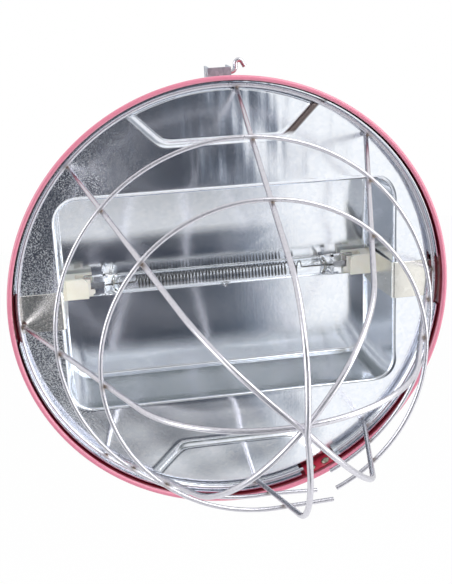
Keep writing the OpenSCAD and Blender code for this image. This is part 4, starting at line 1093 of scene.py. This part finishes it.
def hook():
    """One wire: along its pivot in the bracket, up, over the crown and down to its open tip."""
    pivot = np.array([0, 136.82, -48.0])
    crown_y, curl_r, tip = 144.0, 2.3, 3.6
    x, rise = 15.6, crown_y - curl_r - pivot[1]
    flat = rounded_run([(-3.8, 0), (x, 0), (x, rise)], 3.0, 10)[:-1]
    flat += [np.array(p) for p in arc((x + curl_r, rise), curl_r, 180, 30, 14)]
    a = math.radians(30)
    flat.append(flat[-1] + tip * np.array([math.sin(a), -math.cos(a)]))
    path = [pivot + [p[0], p[1], 0] for p in flat]
    mesh = wire_mesh("hanger_hook_wire", [path], 3.0, FINISH["guard_wire"], 24)
    piece("hanger_hook_wire", mesh, FINISH["guard_wire"], "hook", ("hanger_hook",), 50)


reflector()
shade_drum()
rivets()
guard()
quartz_tube()
filament()
contact_spring()
hook()

strip_bracket("left_strip_bracket", -1, MOUTH_HX - LEFT_IN)
strip_bracket("right_strip_bracket", 1, MOUTH_HX)
softened("left_lampholder", FINISH["holder_ceramic"], 0.45, 3)
softened("right_lampholder", FINISH["holder_ceramic"], 0.45, 3)
softened("end_caps", FINISH["cap_ceramic"], 0.5, 3)
softened("hanger_bracket", BRACKET_ZINC, 0.25)
softened("terminal_cover", BOX_ZINC, 0.5, 3)
softened("back_plate", FINISH["red_paint"], 0.2)

ON_NODE = {
    "strip_rivets": FINISH["rivet"], "hanger_rivets": FINISH["rivet"],
    "holder_screws": FINISH["screw"], "cover_screws": FINISH["screw"], "block_screws": FINISH["screw"],
    "earth_screw": FINISH["screw"], "contact_plunger": FINISH["contact_metal"],
    "fixed_contact": FINISH["contact_metal"], "end_contacts": FINISH["contact_metal"],
    "lead_bushings": FINISH["cap_ceramic"], "filament_leads": FINISH["filament"],
    "sealing_foils": FINISH["foil"], "terminal_block": BLOCK_PLASTIC,
    "lead_grommets": FINISH["grommet_rubber"], "left_internal_lead": FINISH["lead_sleeve"],
    "right_internal_lead": FINISH["lead_sleeve"], "gland_body": FINISH["gland_plastic"],
    "gland_seal": FINISH["grommet_rubber"], "gland_nut": FINISH["gland_plastic"],
    "gland_locknut": FINISH["gland_plastic"],
}
for node, finish in ON_NODE.items():
    cad[node].data.materials.clear()
    cad[node].data.materials.append(finish)


# Studio


def pale_floor():
    """A wide floor, nearly white to the camera, with a faint shadow."""
    material = bpy.data.materials.new("pale_floor")
    material.use_nodes = True
    nodes, links = material.node_tree.nodes, material.node_tree.links
    nodes.clear()
    path = nodes.new("ShaderNodeLightPath")
    glow = nodes.new("ShaderNodeEmission")
    matt = nodes.new("ShaderNodeBsdfDiffuse")
    matt.inputs["Color"].default_value = (0.86, 0.86, 0.86, 1)
    mix = nodes.new("ShaderNodeMixShader")
    out = nodes.new("ShaderNodeOutputMaterial")
    seen = nodes.new("ShaderNodeMath")
    seen.operation = "MULTIPLY"
    seen.inputs[1].default_value = 0.96
    links.new(path.outputs["Is Camera Ray"], seen.inputs[0])
    links.new(seen.outputs[0], mix.inputs[0])
    links.new(matt.outputs[0], mix.inputs[1])
    links.new(glow.outputs[0], mix.inputs[2])
    links.new(mix.outputs[0], out.inputs["Surface"])
    mesh = bpy.data.meshes.new("floor")
    mesh.from_pydata([(-3, -0.45, -0.9), (3, -0.45, -0.9), (3, 3, -0.9), (-3, 3, -0.9)], [], [(0, 1, 2, 3)])
    mesh.materials.append(material)
    floor = bpy.data.objects.new("floor", mesh)
    bpy.context.scene.collection.objects.link(floor)


def studio_world():
    """A white room; before the lamp stands a dark screen, which its flat sheet mirrors."""
    world = bpy.data.worlds.new("studio")
    bpy.context.scene.world = world
    world.use_nodes = True
    nodes, links = world.node_tree.nodes, world.node_tree.links
    nodes.clear()
    path = nodes.new("ShaderNodeLightPath")
    place = nodes.new("ShaderNodeTexCoord")
    split = nodes.new("ShaderNodeSeparateXYZ")
    links.new(place.outputs["Generated"], split.inputs[0])

    def band(axis, low, high):
        node = nodes.new("ShaderNodeMapRange")
        node.inputs["From Min"].default_value = low
        node.inputs["From Max"].default_value = high
        links.new(split.outputs[axis] if isinstance(axis, str) else axis, node.inputs["Value"])
        return node.outputs["Result"]

    def combine(kind, a, b):
        node = nodes.new("ShaderNodeMath")
        node.operation = kind
        links.new(a, node.inputs[0])
        links.new(b, node.inputs[1])
        return node.outputs[0]

    across = nodes.new("ShaderNodeValToRGB")
    stops = ((-0.85, (0.75, 0.77, 0.80)), (-0.5, (0.40, 0.42, 0.45)), (-0.22, (0.19, 0.21, 0.23)),
             (-0.09, (0.02, 0.024, 0.037)),
             (0.03, (0.045, 0.05, 0.072)), (0.08, (0.025, 0.032, 0.05)), (0.15, (0.04, 0.055, 0.085)),
             (0.172, (0.20, 0.24, 0.31)), (0.189, (0.55, 0.58, 0.64)), (0.211, (1.12, 1.12, 1.12)))
    while len(across.color_ramp.elements) < len(stops):
        across.color_ramp.elements.new(0.5)
    for element, (x, colour) in zip(across.color_ramp.elements, stops):
        element.position, element.color = (x + 1) / 2, (*colour, 1)
    links.new(band("X", -1, 1), across.inputs["Fac"])
    shown = across.outputs["Color"]
    back = nodes.new("ShaderNodeMath")
    back.operation = "MULTIPLY_ADD"
    links.new(band("Z", 0, -1), back.inputs[0])
    back.inputs[1].default_value = -0.5
    links.new(split.outputs["Y"], back.inputs[2])
    strip = combine("MULTIPLY", band("Z", -0.445, -0.48), band("X", -0.35, -0.12))
    strip = combine("MULTIPLY", strip, band("Z", -0.88, -0.80))
    turns = ((strip, (1.15, 1.15, 1.15)), (band("Z", 0.0, 0.08), (0.98, 0.97, 0.96)),
             (band("Z", 0.13, 0.18), (0.20, 0.22, 0.26)), (band("Z", 0.28, 0.315), (1.6, 1.6, 1.6)),
             (band("Z", 0.365, 0.39), (0.06, 0.08, 0.075)), (band("Z", 0.64, 0.76), (0.90, 0.90, 0.90)),
             (band(back.outputs[0], -0.72, -0.35), (0.90, 0.91, 0.93)))
    for factor, colour in turns:
        mix = nodes.new("ShaderNodeMix")
        mix.data_type = "RGBA"
        links.new(factor, mix.inputs[0])
        links.new(shown, mix.inputs[6])
        mix.inputs[7].default_value = (*colour, 1)
        shown = mix.outputs[2]
    room = nodes.new("ShaderNodeBackground")
    links.new(shown, room.inputs["Color"])
    white = nodes.new("ShaderNodeBackground")
    white.inputs["Color"].default_value = (1, 1, 1, 1)
    # metal and glass show the white wall too, where they look at the wall behind the lamp
    gloss = combine("MAXIMUM", path.outputs["Is Glossy Ray"], path.outputs["Is Transmission Ray"])
    seen = combine("MAXIMUM", path.outputs["Is Camera Ray"], combine("MULTIPLY", gloss, band("Y", -0.1, 0.3)))
    mix = nodes.new("ShaderNodeMixShader")
    out = nodes.new("ShaderNodeOutputWorld")
    links.new(seen, mix.inputs[0])
    links.new(room.outputs[0], mix.inputs[1])
    links.new(white.outputs[0], mix.inputs[2])
    links.new(mix.outputs[0], out.inputs["Surface"])


def soft_box(name, at, wide, high, watts):
    """A wide white lamp, turned towards the heat lamp."""
    light = bpy.data.lights.new(name, "AREA")
    light.shape = "RECTANGLE"
    light.size, light.size_y = wide, high
    light.energy = watts
    lamp = bpy.data.objects.new(name, light)
    lamp.location = at
    aim = Vector((-0.018, -0.05, -0.142))
    lamp.rotation_euler = (aim - Vector(at)).to_track_quat("-Z", "Y").to_euler()
    bpy.context.scene.collection.objects.link(lamp)


def camera():
    """The photograph's view: a little above, from the left of the lamp's axis."""
    data = bpy.data.cameras.new("camera")
    data.sensor_fit = "HORIZONTAL"
    data.sensor_width = 36
    data.lens = 79.65
    data.clip_start, data.clip_end = 0.01, 60
    right = Vector((0.9860, -0.1603, -0.0450)).normalized()
    down = Vector((-0.0916, -0.2968, -0.9505))
    down = (down - right * down.dot(right)).normalized()
    ahead = right.cross(down).normalized()
    if ahead.dot(Vector((0.1389, 0.9414, -0.3073))) < 0:
        ahead = -ahead
    eye = bpy.data.objects.new("camera", data)
    turn = Matrix((right, -down, -ahead)).transposed().to_4x4()
    eye.matrix_world = Matrix.Translation((-0.1099, -0.6418, 0.0569)) @ turn
    bpy.context.scene.collection.objects.link(eye)
    bpy.context.scene.camera = eye


camera()
pale_floor()
studio_world()
soft_box("right_box", (1.25, -0.85, -0.05), 0.7, 1.2, 9)
soft_box("top_box", (0.75, -0.5, 0.9), 1.2, 0.9, 9)
soft_box("left_box", (-1.2, -0.5, 0.1), 0.6, 1.0, 6)
bpy.context.scene.view_settings.view_transform = "Standard"
